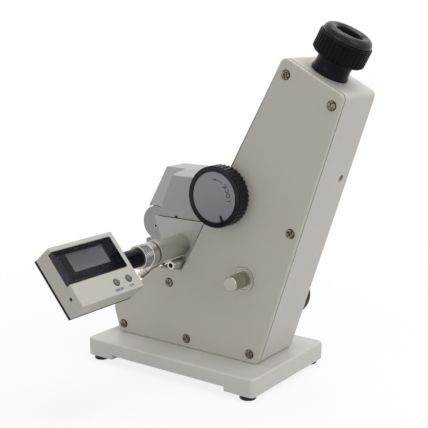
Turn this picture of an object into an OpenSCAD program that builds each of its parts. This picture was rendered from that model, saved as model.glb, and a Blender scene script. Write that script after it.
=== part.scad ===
// Abbe refractometer with a hinged prism head, an angled housing and a digital thermometer.
// X points from the prism head to the eyepiece, Z points up, and the cover side faces -Y.
// The origin is the middle of the base plate's footprint, at the plane that the feet stand on.

/* [Base plate] */
// Length of the base plate
base_l = 143; // [136:1:156]
// Width of the base plate
base_w = 92.4; // [84:0.4:104]
// Thickness of the base plate
base_t = 12.6; // [11:0.2:16]
// Radius of the plate's upright corners
base_r = 3.4; // [2:0.2:6]
// Depth of the relief under the plate
relief_d = 3; // [2:0.2:4]
// Length of the solid pad at each end of the relief
pad_l = 23; // [20:1:30]
// Radius of a rubber foot
foot_r = 5.6; // [4.6:0.2:7]
// Height of a rubber foot
foot_h = 3.3; // [2.5:0.1:6]
// Distance from the plate's end to a foot's centre
foot_in_x = 8; // [7.4:0.2:14]
// Distance from the plate's side to a foot's centre
foot_in_y = 6.6; // [6.4:0.2:12]

/* [Housing] */
// Width of the housing with its cover
house_w = 44; // [42:0.5:50]
// Thickness of the side cover
cover_t = 3; // [2:0.2:4]
// Wall thickness of the housing
wall = 3; // [2.4:0.2:3.6]
// Thickness of the housing's floor
floor_t = 6; // [5:0.5:9]
// Tilt of the optical axis from upright
tilt = 28.5; // [24:0.5:32]
// Distance of the eyepiece seat in front of the base's centre
seat_x = 95.7; // [92:0.1:100]
// Height of the eyepiece seat above the base plate
seat_h = 192.2; // [186:0.2:200]
// Distance from the optical axis to the housing's front edge
front_b = 22.9; // [22.5:0.1:25]
// Distance from the optical axis to the housing's rear edge at the top
rear_b = 25.1; // [24:0.1:28]
// Distance from the base's centre to the housing's heel
heel_x = 58.8; // [55:0.2:64]
// Distance from the base's centre to the housing's toe at the plate
toe_x = 61.7; // [58:0.1:65]
// How far the knee stands out past the toe
knee_out = 5.8; // [3:0.2:8]
// Height of the knee above the plate
knee_h = 19; // [16:0.5:22]
// Distance of the toe's top below the seam between the prism holders
toe_down = 37; // [36.4:0.2:39]
// Distance from the base's centre to the toe's top corner
toe_top_x = 28.2; // [26:0.2:30]
// Distance of the valley, where toe and front edge meet, below the seam
valley_down = 34.6; // [34:0.2:35.4]
// Radius of the housing's corners
corner_r = 4.2; // [2:0.2:6]

/* [Prism head] */
// Half of the head's width
head_half = 17; // [16:0.5:18]
// Height of the seam between the holders above the plate
seam_h = 90.4; // [89:0.2:92]
// Gap between the two holders
seam_gap = 0.5; // [0.3:0.1:0.8]
// Height of the upper holder's top above the seam
upper_h = 33; // [28:0.2:35.6]
// Gap between the head and the housing's front wall
head_gap = 1.5; // [1:0.1:2]
// Distance from the base's centre to the hinge pin
hinge_x = 41.5; // [40:0.1:43]
// Distance of the hinge pin below the seam
hinge_down = 11.5; // [10.4:0.1:12.4]
// Radius of the hinge pin
hinge_pin_r = 1.6; // [1.2:0.1:2.2]
// Radius of the hinge lobe
lobe_r = 12.4; // [11.6:0.1:12.8]
// Y of the step between the narrow block and the wing of the head
wing_y = -3.4; // [-5:0.1:-3]
// Width of one hinge ear
ear_w = 5; // [4:0.2:6]

/* [Eyepiece] */
// Radius of the eyepiece tube where the ring runs on it
tube_r = 10.8; // [10.2:0.1:11.4]
// Wall thickness of the eyepiece tube
tube_wall = 1.2; // [1:0.1:1.6]
// Radius of the focusing ring
ring_r = 17.3; // [16:0.1:19]
// Height of the focusing ring's ribbed band
ring_h = 13.2; // [12:0.2:15]
// Height of the eyepiece above its seat
eye_h = 29; // [28:0.2:31]
// Number of grooves round the focusing ring
ring_ribs = 36; // [24:1:42]

/* [Lock wheel] */
// Height of the lock wheel's axis above the seam
lock_up = 21.9; // [19.7:0.2:23.5]
// Distance of the lock wheel's axis behind the housing's front edge
lock_in = 4.7; // [4.2:0.1:5.2]
// Radius of the lock wheel
lock_r = 20.4; // [18:0.2:22]
// Radius of the grey disc in the lock wheel
lock_disc_r = 16.8; // [14:0.2:17.6]
// Thickness of the lock wheel
lock_t = 10.9; // [9:0.1:13]
// Radius of the lock shaft
lock_shaft_r = 2; // [1.6:0.1:2.2]

/* [Scale drive] */
// Distance of the scale knob's axis from the base's centre
knob_x = 47.5; // [46:0.1:49]
// Distance of the scale knob's axis below the eyepiece seat
knob_down = 134.8; // [133.2:0.1:136.2]
// Radius of the scale knob
knob_r = 5.2; // [4.4:0.1:6.4]
// How far the scale knob stands out of the cover
knob_out = 16; // [12:0.2:18]
// Radius of the flange behind the scale knob
flange_r = 8.4; // [7.6:0.1:10]
// Radius of the scale shaft
scale_shaft_r = 2; // [1.6:0.1:2.2]
// Distance of the swing mirror's pivot below the eyepiece seat
mirror_down = 118.1; // [117.2:0.1:119.2]
// Teeth of the pinion
pinion_teeth = 12; // [12:1:12]
// Teeth of the scale sector over a full turn
sector_teeth = 48; // [48:1:48]

/* [Dispersion drive] */
// Distance of the dispersion shaft down the optical axis
disp_t = 78; // [76:0.5:80]
// Radius of the dispersion wheel
disp_r = 20; // [18:0.5:21]
// Thickness of the dispersion wheel
disp_w = 9; // [8:0.5:12]
// Teeth of the crown on a prism cell
crown_teeth = 39; // [39:1:39]
// Radius of the dispersion shaft
disp_shaft_r = 2; // [1.6:0.1:2.2]

/* [Thermometer] */
// Distance of the stem's axis from the base's centre
stem_x = 7.9; // [7:0.1:8.4]
// Distance of the stem's axis below the seam
stem_down = 18; // [17.2:0.1:18.4]
// Radius of the seat's barrel
barrel_r = 7.4; // [7:0.1:8]
// Length of the seat's barrel
barrel_l = 26; // [22:0.2:30]
// Radius of the knurled union nut
nut_r = 8; // [7.6:0.1:9]
// Radius of the black stem collar
collar_r = 6.3; // [5.6:0.1:6.5]
// Length of the collar that shows between nut and display
collar_l = 14.6; // [12:0.2:20]
// Length of the display
display_l = 55.6; // [54:0.2:60]
// Height of the display's face
display_h = 42; // [40:0.2:46]
// Thickness of the display's body
display_t = 14.7; // [13.4:0.1:17]
// Thickness of the display's back plate
back_t = 1.6; // [1.2:0.1:2.4]
// Angle of the display's face back from upright
face_tilt = 49; // [30:1:60]
// Length of the window
window_l = 51; // [48:0.2:52]
// Height of the window
window_h = 22.5; // [20:0.1:24]

/* [Far side] */
// Radius of the condenser barrel
cond_r = 16; // [14:0.2:18]
// Length of the condenser barrel
cond_l = 11; // [8:0.5:14]
// Distance of the condenser's axis from the base's centre
cond_x = 51.5; // [49:0.5:52]
// Height of the condenser's axis above the plate
cond_h = 37; // [35:0.5:39]

/* [Hidden] */
$fn = 48;

// Overrun of a cut past the face that it opens
over = 1;
// Radial clearance of a shaft that turns in its bore
run_fit = 0.08;
// Clearance between parts that turn past each other
turn_gap = 0.3;

// Main levels and planes
base_z = foot_h + base_t;
cover_y = -house_w / 2;
shell_y = cover_y + cover_t;
far_y = house_w / 2;
far_in = far_y - wall;
seam_z = base_z + seam_h;
toe_h = seam_h - toe_down;
valley_h = seam_h - valley_down;
stem_h = seam_h - stem_down;
lock_h = seam_h + lock_up;
knob_h = seat_h - knob_down;
mirror_h = seat_h - mirror_down;
low_top = seam_z - seam_gap / 2;
up_bottom = seam_z + seam_gap / 2;
head_top = seam_z + upper_h;
near_y = -head_half;

// Directions along and across the optical axis, as X and Z
along = [sin(tilt), cos(tilt)];
across = [cos(tilt), -sin(tilt)];
seat = [seat_x, base_z + seat_h];

function unit(v) = v / norm(v);
function turn_of(a) = a > 180 ? a - 360 : (a < -180 ? a + 360 : a);
// Points of one rounded corner at p, between its neighbours a and b
function corner(a, p, b, r, n) =
    let (u = unit(a - p), v = unit(b - p), half = acos(u * v) / 2,
         c = p + unit(u + v) * r / sin(half), s = p + u * r / tan(half) - c,
         e = p + v * r / tan(half) - c, a0 = atan2(s[1], s[0]),
         sweep = turn_of(atan2(e[1], e[0]) - a0))
    [for (i = [0:n]) c + r * [cos(a0 + sweep * i / n), sin(a0 + sweep * i / n)]];
function rounded(pts, r, n = 5) =
    let (k = len(pts))
    [for (i = [0:k - 1])
        each corner(pts[(i + k - 1) % k], pts[i], pts[(i + 1) % k], is_list(r) ? r[i] : r, n)];
function left_of(v) = [-v[1], v[0]];
// An outline moved inwards by d
function inset(pts, d) =
    let (k = len(pts))
    [for (i = [0:k - 1])
        let (n1 = left_of(unit(pts[i] - pts[(i + k - 1) % k])),
             n2 = left_of(unit(pts[(i + 1) % k] - pts[i])))
        pts[i] + (n1 + n2) * d / (1 + n1 * n2)];
// X of a line that runs parallel to the optical axis, b across from it, at height z
function axis_x(b, z) = seat[0] + b / cos(tilt) + (z - seat[1]) * tan(tilt);
function front_x(z) = axis_x(-front_b, z);
function head_x(z) = axis_x(-front_b, z) - head_gap / cos(tilt);
// The point b across and t down from the eyepiece seat
function down(t, b) = seat - along * t + across * b;

// Outline of the housing, seen from the cover side
valley_z = base_z + valley_h;
house_pts = [
    [-toe_x, base_z], [heel_x, base_z], down(0, rear_b), down(0, -front_b),
    [front_x(valley_z), valley_z], [-toe_top_x, base_z + toe_h],
    [-toe_x - knee_out, base_z + knee_h]
];
valley_r = 0.8;
house_r = [for (i = [0:6]) i == 4 ? valley_r : corner_r];
inner_r = [for (r = house_r) max(valley_r, r - wall / 3)];
foot_at = [base_l / 2 - foot_in_x, base_w / 2 - foot_in_y];

// Screws that hold the cover and the feet
screw_r = 1.5;
screw_head_r = 2.9;
screw_head_h = 0.9;
screw_l = 9;
slot_w = 0.8;
slot_d = 0.6;
post_r = 3.6;
screw_row_h = 6.5;
top_screw_down = 9.2;
front_screw_in = 7.2;
rear_screw_in = 4.3;
mid_screw_h = 92.6;
mid_screw_in = 6.4;
heel_screw_in = 6;
toe_screw_in = 4;
high_screw_in = 13.3;
high_screw_down = 8.4;
function rear_x(z) =
    let (top = down(0, rear_b))
    heel_x + (top[0] - heel_x) * (z - base_z) / (top[1] - base_z);
screw_pts = [
    down(top_screw_down, front_screw_in - front_b), down(top_screw_down, rear_b - rear_screw_in),
    [rear_x(base_z + mid_screw_h) - mid_screw_in, base_z + mid_screw_h],
    [heel_x - heel_screw_in, base_z + screw_row_h], [0, base_z + screw_row_h],
    [-toe_x + toe_screw_in, base_z + screw_row_h],
    [-toe_top_x + high_screw_in, base_z + toe_h - high_screw_down]
];

module rod_y(at, y0, y1, r) {
    translate([at[0], y1, at[1]]) rotate([90, 0, 0]) cylinder(h = y1 - y0, r = r);
}
module slab_y(y0, y1) {
    translate([0, y1, 0]) rotate([90, 0, 0]) linear_extrude(y1 - y0) children();
}
// Stands its children on the optical axis, t up from the eyepiece seat
module on_axis(t) {
    translate([seat[0] + along[0] * t, 0, seat[1] + along[1] * t]) rotate([0, tilt, 0]) children();
}
// A pipe along Z
module pipe(h, ro, ri) {
    difference() {
        cylinder(h = h, r = ro);
        translate([0, 0, -over]) cylinder(h = h + 2 * over, r = ri);
    }
}
// A cross-recess screw along Z: its head's top is at 0 and the shank goes down
module cross_screw(shank_l) {
    difference() {
        union() {
            translate([0, 0, -screw_head_h]) cylinder(h = screw_head_h, r = screw_head_r);
            translate([0, 0, -shank_l]) cylinder(h = shank_l, r = screw_r);
        }
        for (a = [0, 90])
            rotate([0, 0, a]) translate([-screw_head_r / 2, -slot_w / 2, -slot_d])
                cube([screw_head_r, slot_w, slot_d + over]);
    }
}

// Bolts that come up through the base plate into the housing's floor
bolt_r = 2;
bolt_head_r = 3.6;
bolt_head_h = 2.6;
bolt_grip = 4;
bolt_x = [-46, 44];
bolt_y = 10;
hex_r = 1.6;

module at_bolts() {
    for (x = bolt_x, y = [-bolt_y, bolt_y]) translate([x, y, foot_h + relief_d]) children();
}
module at_feet() {
    for (x = [-1, 1], y = [-1, 1]) translate([x * foot_at[0], y * foot_at[1], 0]) children();
}
foot_sink = 1.6;
foot_screw_l = 8;

module base_plate() {
    color([0.80, 0.79, 0.76]) difference() {
        translate([-base_l / 2, -base_w / 2, foot_h]) linear_extrude(base_t)
            polygon(rounded([[0, 0], [base_l, 0], [base_l, base_w], [0, base_w]], base_r));
        translate([-base_l / 2 + pad_l, -base_w / 2 - over, foot_h - over])
            cube([base_l - 2 * pad_l, base_w + 2 * over, relief_d + over]);
        at_bolts() {
            translate([0, 0, -over]) cylinder(h = bolt_head_h + over, r = bolt_head_r + run_fit);
            cylinder(h = base_t, r = bolt_r + run_fit);
        }
        at_feet() cylinder(h = foot_h + foot_screw_l, r = screw_r);
    }
}

module rubber_feet() {
    color([0.10, 0.10, 0.11]) at_feet() difference() {
        cylinder(h = foot_h, r = foot_r);
        translate([0, 0, -over]) cylinder(h = foot_sink + over, r = screw_head_r + turn_gap);
        cylinder(h = foot_h + over, r = screw_r + run_fit);
    }
}

module foot_screws() {
    color([0.55, 0.55, 0.56]) at_feet() translate([0, 0, foot_sink]) rotate([180, 0, 0])
        translate([0, 0, screw_head_h]) cross_screw(screw_head_h + foot_screw_l);
}

module housing_bolts() {
    color([0.30, 0.30, 0.32]) at_bolts() difference() {
        union() {
            cylinder(h = bolt_head_h, r = bolt_head_r);
            cylinder(h = base_t - relief_d + bolt_grip, r = bolt_r);
        }
        translate([0, 0, -over]) cylinder(h = bolt_head_h / 2 + over, r = hex_r, $fn = 6);
    }
}

// Holes and windows in the housing's walls
light_h = 10;
light_w = 16;
light_down = 3.4;
light_z = base_z + stem_h - light_down;
catch_h = 16;
catch_w = 14;
adjust_down = 67.4;
adjust_h = seat_h - adjust_down;
adjust_y = 11.9;
adjust_hole_r = 2.6;
boss_r = 4.4;
mirror_at = [axis_x(0, base_z + mirror_h), base_z + mirror_h];
knob_at = [knob_x, base_z + knob_h];
lock_at = [front_x(base_z + lock_h) + lock_in / cos(tilt), base_z + lock_h];
cond_at = [cond_x, base_z + cond_h];
shaft_at = down(disp_t, 0);
cond_hole_r = 11.5;
mirror_shaft_r = 2;
mirror_boss_l = 8;
tube_fit = 0.1;
tube_hole_r = tube_r + tube_fit;

module housing_shell() {
    inner = inset(house_pts, wall);
    color([0.72, 0.70, 0.66]) difference() {
        union() {
            slab_y(far_in, far_y) polygon(rounded(house_pts, house_r));
            difference() {
                slab_y(shell_y, far_in) polygon(rounded(house_pts, house_r));
                slab_y(shell_y - over, far_in + over) polygon(rounded(inner, inner_r));
            }
            difference() {
                translate([-toe_x + wall / 2, shell_y, base_z])
                    cube([toe_x + heel_x - wall, far_in - shell_y, floor_t]);
                for (i = [3:5]) rod_y(screw_pts[i], shell_y - over, shell_y, post_r);
            }
            for (q = screw_pts) rod_y(q, shell_y, far_in, post_r);
            rod_y(mirror_at, far_in - mirror_boss_l, far_in, boss_r);
        }
        for (q = screw_pts) rod_y(q, shell_y - over, shell_y + screw_l, screw_r);
        rod_y(mirror_at, far_in - mirror_boss_l - over, far_y - wall / 2, mirror_shaft_r + run_fit);
        rod_y(shaft_at, far_in - over - wall, far_y + over, disp_shaft_r + bush_t);
        rod_y(cond_at, far_in - over, far_y + over, cond_hole_r);
        translate([front_x(light_z) - 2 * wall, -light_w / 2, light_z])
            cube([6 * wall, light_w, light_h]);
        translate([lock_at[0] - 4 * wall, -catch_w / 2, lock_at[1] - catch_h / 2])
            cube([6 * wall, catch_w, catch_h]);
        rod_y(lock_at, shell_y - over, catch_w / 2, lock_shaft_r + 2 * turn_gap);
        on_axis(-2 * wall) cylinder(h = 4 * wall, r = tube_hole_r);
        at_adjuster() translate([0, 0, -2 * wall]) cylinder(h = 4 * wall, r = adjust_hole_r);
        at_bolts() cylinder(h = base_t - relief_d + bolt_grip, r = bolt_r);
    }
}

bush_t = 1.6;
bush_l = 5;
bush_lip = 1.2;

module side_cover() {
    color([0.69, 0.67, 0.62]) difference() {
        slab_y(cover_y, shell_y) polygon(rounded(house_pts, house_r));
        for (q = screw_pts) rod_y(q, cover_y - over, shell_y + over, screw_r + run_fit);
        rod_y(lock_at, cover_y - over, shell_y + over, lock_shaft_r + bush_t);
        rod_y(knob_at, cover_y - over, shell_y + over, scale_shaft_r + bush_t);
    }
}

module cover_screws() {
    color([0.36, 0.31, 0.24]) for (q = screw_pts)
        translate([q[0], cover_y - screw_head_h, q[1]]) rotate([90, 0, 0])
            cross_screw(screw_head_h + cover_t + screw_l - over);
}

// A bush that lines a shaft's hole, with a lip on the housing's inside
module bush(at, y0, y1, r, lip_y0, lip_r) {
    difference() {
        union() {
            rod_y(at, y0, y1, r + bush_t);
            rod_y(at, lip_y0, lip_y0 + bush_lip, lip_r);
        }
        rod_y(at, y0 - bush_l, y1 + bush_l, r + run_fit);
    }
}
module shaft_bushes() {
    color([0.72, 0.58, 0.30]) {
        bush(lock_at, cover_y, shell_y, lock_shaft_r, shell_y - bush_lip, lock_shaft_r + bush_t);
        bush(knob_at, cover_y, shell_y + bush_lip, scale_shaft_r, shell_y, scale_shaft_r + 2 * bush_t);
        bush(shaft_at, far_in - bush_lip, far_y, disp_shaft_r, far_in - bush_lip, disp_shaft_r + 2 * bush_t);
    }
}

// Eyepiece: heights up the optical axis from the seat
foot_flare = 1.6;
foot_flare_h = 1.2;
neck_r = 11.7;
ring_t = 11;
tube_top = 22;
tube_down = 24;
tube_bore = tube_r - tube_wall;

module eyepiece_tube() {
    color([0.10, 0.10, 0.11]) on_axis(0) rotate_extrude() polygon([
        [tube_bore, -tube_down], [tube_r, -tube_down], [tube_r, 0],
        [tube_r + foot_flare, 0], [tube_r + foot_flare, foot_flare_h],
        [neck_r, foot_flare_h + foot_flare], [neck_r - turn_gap, ring_t / 2],
        [neck_r, ring_t - turn_gap], [tube_r, ring_t - turn_gap], [tube_r, tube_top],
        [tube_bore, tube_top]
    ]);
}

reticle_t = 1.5;
reticle_down = 18;
line_w = 0.3;
module reticle() {
    color([0.80, 0.88, 0.90]) on_axis(-reticle_down) difference() {
        cylinder(h = reticle_t, r = tube_bore - run_fit);
        for (a = [45, 135]) rotate([0, 0, a])
            translate([-tube_bore / 2, -line_w / 2, reticle_t - line_w]) cube([tube_bore, line_w, over]);
    }
}

// Focusing ring and what it drives
ring_rib_r = 0.8;
ring_edge = 0.5;
ring_rim_in = 1.4;
eye_hole_r = 9;
module focus_ring() {
    color([0.10, 0.10, 0.11]) on_axis(ring_t) difference() {
        rotate_extrude() polygon([
            [tube_r + run_fit, 0], [ring_r - ring_rim_in, 0], [ring_r, ring_rim_in],
            [ring_r, ring_h - ring_edge], [ring_r - ring_edge, ring_h],
            [eye_hole_r, ring_h], [eye_hole_r, tube_top - ring_t + turn_gap],
            [tube_r + run_fit, tube_top - ring_t + turn_gap]
        ]);
        for (i = [0:ring_ribs - 1]) rotate([0, 0, 360 * i / ring_ribs])
            translate([ring_r + ring_rib_r / 3, 0, ring_rim_in])
                cylinder(h = ring_h - 2 * ring_rim_in, r = ring_rib_r, $fn = 16);
    }
}

// Rubber eyecup: a rounded roll with a funnel down to the eye hole
cup_r = 16.2;
cup_in_r = 9.2;
cup_low_r = 5.4;
cup_floor = 0.9;
cup_round = [0.2, 0.5, 4.2, 3.5, 0.2];
module eyecup() {
    top = eye_h - ring_t;
    color([0.07, 0.07, 0.08]) on_axis(ring_t) rotate_extrude() polygon(rounded([
        [cup_low_r, ring_h], [cup_r, ring_h], [cup_r, top], [cup_in_r, top], [cup_low_r, ring_h + cup_floor]
    ], cup_round, 8));
}

cell_r = tube_bore - run_fit;
cell_wall = 1.6;
cell_low = 5;
cell_top = 20.5;
lens_t = 3;
module lens_cell() {
    color([0.16, 0.16, 0.17]) on_axis(cell_low) pipe(cell_top - cell_low, cell_r, cell_r - cell_wall);
}
// A lens with one bulged face, along Z
module lens(r, t) {
    bulge = r * r / t;
    intersection() {
        cylinder(h = t, r = r);
        translate([0, 0, t - bulge]) sphere(r = bulge, $fn = 96);
    }
}
module eyepiece_lenses() {
    color([0.80, 0.88, 0.92]) {
        on_axis(cell_top - lens_t) lens(cell_r - cell_wall - run_fit, lens_t);
        on_axis(cell_low) lens(cell_r - cell_wall - run_fit, lens_t);
    }
}

// Compensator: a tube on the optical axis that holds the objective and the two prism cells
frame_r = 17;
frame_wall = 1.4;
frame_low = 95;
frame_top = 46;
frame_bore = frame_r - frame_wall;
stop_w = 1.2;
pinion_pitch_r = 4;
crown_r = pinion_pitch_r * crown_teeth / pinion_teeth;
crown_w = 1.6;
tooth_w = 0.62;
tooth_up = 0.3;
tooth_down = 0.7;
cell_h = 11;
cell_turn_r = frame_bore - run_fit;
cell_in = 8.4;
lug_w = 10;

// At the rear wall's hole for the adjusting screw, with Z along the screw, out of the housing
module at_adjuster() {
    translate([rear_x(base_z + adjust_h), adjust_y, base_z + adjust_h]) rotate([0, 90 + tilt, 0]) children();
}
adjust_r = 2.2;
adjust_l = 22;
adjust_boss_r = 4;
module compensator_frame() {
    color([0.24, 0.24, 0.26]) difference() {
        union() {
            on_axis(-frame_low) pipe(frame_low - frame_top, frame_r, frame_bore);
            on_axis(-frame_low) pipe(stop_w, frame_r, frame_bore - stop_w);
            difference() {
                at_adjuster() translate([0, 0, -adjust_l - wall]) cylinder(h = 4 * wall, r = adjust_boss_r);
                on_axis(-frame_low) cylinder(h = frame_low - frame_top, r = frame_bore + frame_wall / 2);
            }
            for (t = [frame_low, frame_top + lug_w]) on_axis(-t) intersection() {
                translate([-lug_w / 2, 0, 0]) cube([lug_w, far_in, lug_w]);
                difference() {
                    cylinder(h = lug_w, r = 2 * far_in);
                    translate([0, 0, -over]) cylinder(h = lug_w + 2 * over, r = frame_bore + frame_wall / 2);
                }
            }
        }
        rod_y(shaft_at, frame_bore - 2 * wall, far_in + over, pinion_pitch_r + 2 * tooth_up);
        at_adjuster() translate([0, 0, -adjust_l]) cylinder(h = adjust_l, r = adjust_r + run_fit);
    }
}

objective_t = 7;
objective_low = 61;
objective_in = 12.6;
module objective_cell() {
    color([0.30, 0.30, 0.32]) on_axis(-objective_low) difference() {
        pipe(objective_t, frame_bore - run_fit, objective_in);
        translate([0, 0, -over]) cylinder(h = over + objective_t / 2, r = frame_bore - 2 * frame_wall);
    }
}
module objective_lens() {
    color([0.78, 0.87, 0.92]) on_axis(-objective_low + objective_t / 2)
        lens(objective_in - run_fit, objective_t / 2);
}

// One prism cell with crown teeth on its face towards the pinion; up is 1 where the teeth point up
module amici_cell(up) {
    face = pinion_pitch_r + tooth_down;
    on_axis(-disp_t) mirror([0, 0, up > 0 ? 0 : 1]) {
        difference() {
            translate([0, 0, -face - cell_h]) cylinder(h = cell_h, r = cell_turn_r);
            translate([-cell_in / 2, -cell_in / 2, -face - cell_h - over])
                cube([cell_in, cell_in, cell_h + 2 * over]);
        }
        for (i = [0:crown_teeth - 1]) rotate([0, 0, 360 * (i + 1 / 2) / crown_teeth + 90])
            translate([crown_r - crown_w / 2, -tooth_w / 2, -face - tooth_up])
                cube([crown_w, tooth_w, tooth_down + 2 * tooth_up]);
    }
}
module amici_cell_a() { color([0.70, 0.56, 0.28]) amici_cell(1); }
module amici_cell_b() { color([0.72, 0.60, 0.34]) amici_cell(-1); }
module amici_prism(up) {
    face = pinion_pitch_r + tooth_down;
    side = cell_in - 2 * run_fit;
    on_axis(-disp_t) mirror([0, 0, up > 0 ? 0 : 1])
        translate([-side / 2, -side / 2, -face - cell_h]) cube([side, side, cell_h]);
}
module amici_prism_a() { color([0.80, 0.90, 0.93]) amici_prism(1); }
module amici_prism_b() { color([0.82, 0.91, 0.94]) amici_prism(-1); }

// A toothed wheel's outline, with a share of its teeth
tip_share = 0.55;
module gear_2d(teeth, pitch_r, root_r, tip_r, first, last) {
    circle(r = root_r);
    for (i = [first:last]) rotate(360 * i / teeth) polygon([
        [root_r - tooth_up, -tooth_w * 0.7], [pitch_r, -tooth_w / 2], [tip_r, -tooth_w * tip_share / 2],
        [tip_r, tooth_w * tip_share / 2], [pitch_r, tooth_w / 2], [root_r - tooth_up, tooth_w * 0.7]
    ]);
}

// Dispersion shaft, wheel and scale ring on the far side
ring_gap = 0.6;
ring_w = 2;
disp_ring_r = 22;
module dispersion_shaft() {
    color([0.62, 0.63, 0.65]) {
        rod_y(shaft_at, crown_r - crown_w / 2, far_y + ring_gap + ring_w + disp_w / 2, disp_shaft_r);
        translate([shaft_at[0], 0, shaft_at[1]]) rotate([0, tilt, 0])
            slab_y(crown_r - crown_w / 2, crown_r + crown_w / 2)
                gear_2d(pinion_teeth, pinion_pitch_r, pinion_pitch_r - tooth_down, pinion_pitch_r + tooth_up,
                        0, pinion_teeth - 1);
    }
}
disp_ribs = 60;
rib_r = 0.6;
module dispersion_wheel() {
    y0 = far_y + ring_gap + ring_w;
    color([0.11, 0.11, 0.12]) difference() {
        rod_y(shaft_at, y0, y0 + disp_w, disp_r);
        rod_y(shaft_at, y0 - over, y0 + disp_w / 2, disp_shaft_r);
        rod_y(shaft_at, y0 + disp_w - wall / 2, y0 + disp_w + over, disp_r - wall);
        for (i = [0:disp_ribs - 1]) rod_y(
            shaft_at + (disp_r + rib_r / 3) * [cos(360 * i / disp_ribs), sin(360 * i / disp_ribs)],
            y0 + over, y0 + disp_w + over, rib_r, $fn = 12);
    }
}
module dispersion_ring() {
    y0 = far_y + ring_gap;
    color([0.75, 0.75, 0.76]) difference() {
        rod_y(shaft_at, y0, y0 + ring_w, disp_ring_r);
        rod_y(shaft_at, y0 - over, y0 + ring_w + over, disp_shaft_r);
    }
}

// Lock wheel on the cover side, with its shaft and the cam that meets the upper holder
wheel_gap = 0.8;
lock_disc_t = 1.4;
lock_disc_in = 0.6;
lock_ribs = 40;
lock_rib_r = 1.1;
lock_rim_w = 1.6;
lock_cam_r = 4.6;
cam_off = 2.2;
cam_l = 10;
module lock_wheel() {
    y1 = cover_y - wheel_gap;
    y0 = y1 - lock_t;
    color([0.12, 0.12, 0.13]) difference() {
        union() {
            rod_y(lock_at, y0 + over, y1, lock_r);
            rod_y(lock_at, y0, y0 + over, lock_r - over / 2);
        }
        rod_y(lock_at, y0 - over, y0 + lock_disc_in + lock_disc_t, lock_disc_r);
        rod_y(lock_at, y0, y1 + over, lock_shaft_r);
        for (i = [0:lock_ribs - 1]) let (a = 360 * i / lock_ribs)
            rod_y(lock_at + (lock_r + lock_rib_r / 3) * [cos(a), sin(a)], y0 + lock_rim_w, y1 + over,
                lock_rib_r, $fn = 12);
    }
}
module lock_disc() {
    y0 = cover_y - wheel_gap - lock_t + lock_disc_in;
    color([0.47, 0.47, 0.49]) rod_y(lock_at, y0, y0 + lock_disc_t, lock_disc_r - run_fit);
}
module lock_shaft() {
    color([0.66, 0.67, 0.69]) rod_y(lock_at, cover_y - wheel_gap - lock_t + lock_disc_in + lock_disc_t,
        cam_l / 2, lock_shaft_r);
}
module lock_cam() {
    color([0.70, 0.58, 0.32]) difference() {
        rod_y(lock_at + cam_off * across, -cam_l / 2, cam_l / 2, lock_cam_r);
        rod_y(lock_at, -cam_l, cam_l, lock_shaft_r);
    }
}

// Scale knob on the cover side, with its flange, shaft and pinion
flange_t = 1.6;
flange_rim = 1.4;
sector_gap = 0.1;
sector_y = -12.6;
sector_t = 4;
centre_gap = norm(mirror_at - knob_at);
pinion_r = centre_gap * pinion_teeth / (pinion_teeth + sector_teeth);
sector_r = centre_gap - pinion_r;
mesh_a = atan2(knob_at[1] - mirror_at[1], knob_at[0] - mirror_at[0]);
sector_span = 7;
sector_hub_r = 6;
module knob_flange() {
    color([0.78, 0.77, 0.74]) difference() {
        rod_y(knob_at, cover_y - flange_t, cover_y, flange_r);
        rod_y(knob_at, cover_y - flange_t - over, cover_y - flange_t / 2, flange_r - flange_rim);
        rod_y(knob_at, cover_y - flange_t - over, cover_y + over, scale_shaft_r + turn_gap);
    }
}
module scale_knob() {
    y0 = cover_y - knob_out;
    color([0.78, 0.79, 0.80]) difference() {
        union() {
            rod_y(knob_at, y0 + over / 2, cover_y - flange_t / 2 - turn_gap, knob_r);
            rod_y(knob_at, y0, y0 + over / 2, knob_r - over / 2);
        }
        rod_y(knob_at, y0 + knob_out / 2, cover_y, scale_shaft_r);
    }
}
module scale_shaft() {
    color([0.64, 0.65, 0.67]) {
        rod_y(knob_at, cover_y - knob_out / 2, sector_y + sector_t, scale_shaft_r);
        translate([knob_at[0], 0, knob_at[1]]) rotate([0, -mesh_a, 0])
            slab_y(sector_y + sector_gap, sector_y + sector_t)
                rotate(180 + 180 / pinion_teeth)
                    gear_2d(pinion_teeth, pinion_r, pinion_r - tooth_down, pinion_r + tooth_up,
                            0, pinion_teeth - 1);
    }
}
module scale_sector() {
    color([0.74, 0.60, 0.30]) translate([mirror_at[0], 0, mirror_at[1]]) rotate([0, -mesh_a, 0])
        difference() {
            slab_y(sector_y, sector_y + sector_t) union() {
                intersection() {
                    gear_2d(sector_teeth, sector_r, sector_r - tooth_down, sector_r + tooth_up,
                            -sector_span, sector_span);
                    polygon([[0, 0], 2 * sector_r * [cos(sector_edge), -sin(sector_edge)], [2 * sector_r, 0],
                             2 * sector_r * [cos(sector_edge), sin(sector_edge)]]);
                }
                circle(r = sector_hub_r);
            }
            rod_y([0, 0], sector_y - over, sector_y + sector_t + over, mirror_shaft_r);
        }
}
sector_edge = 360 * (sector_span + 0.5) / sector_teeth;
disc_r = 14;
disc_t = 1.5;
module scale_disc() {
    color([0.82, 0.90, 0.92]) difference() {
        rod_y(mirror_at, sector_y + sector_t, sector_y + sector_t + disc_t, disc_r);
        rod_y(mirror_at, sector_y, sector_y + 2 * sector_t, mirror_shaft_r);
    }
}
arm_w = 12;
arm_l = 20;
arm_t = 2.4;
mirror_tilt = -25;
glass_t = 1.6;
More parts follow.
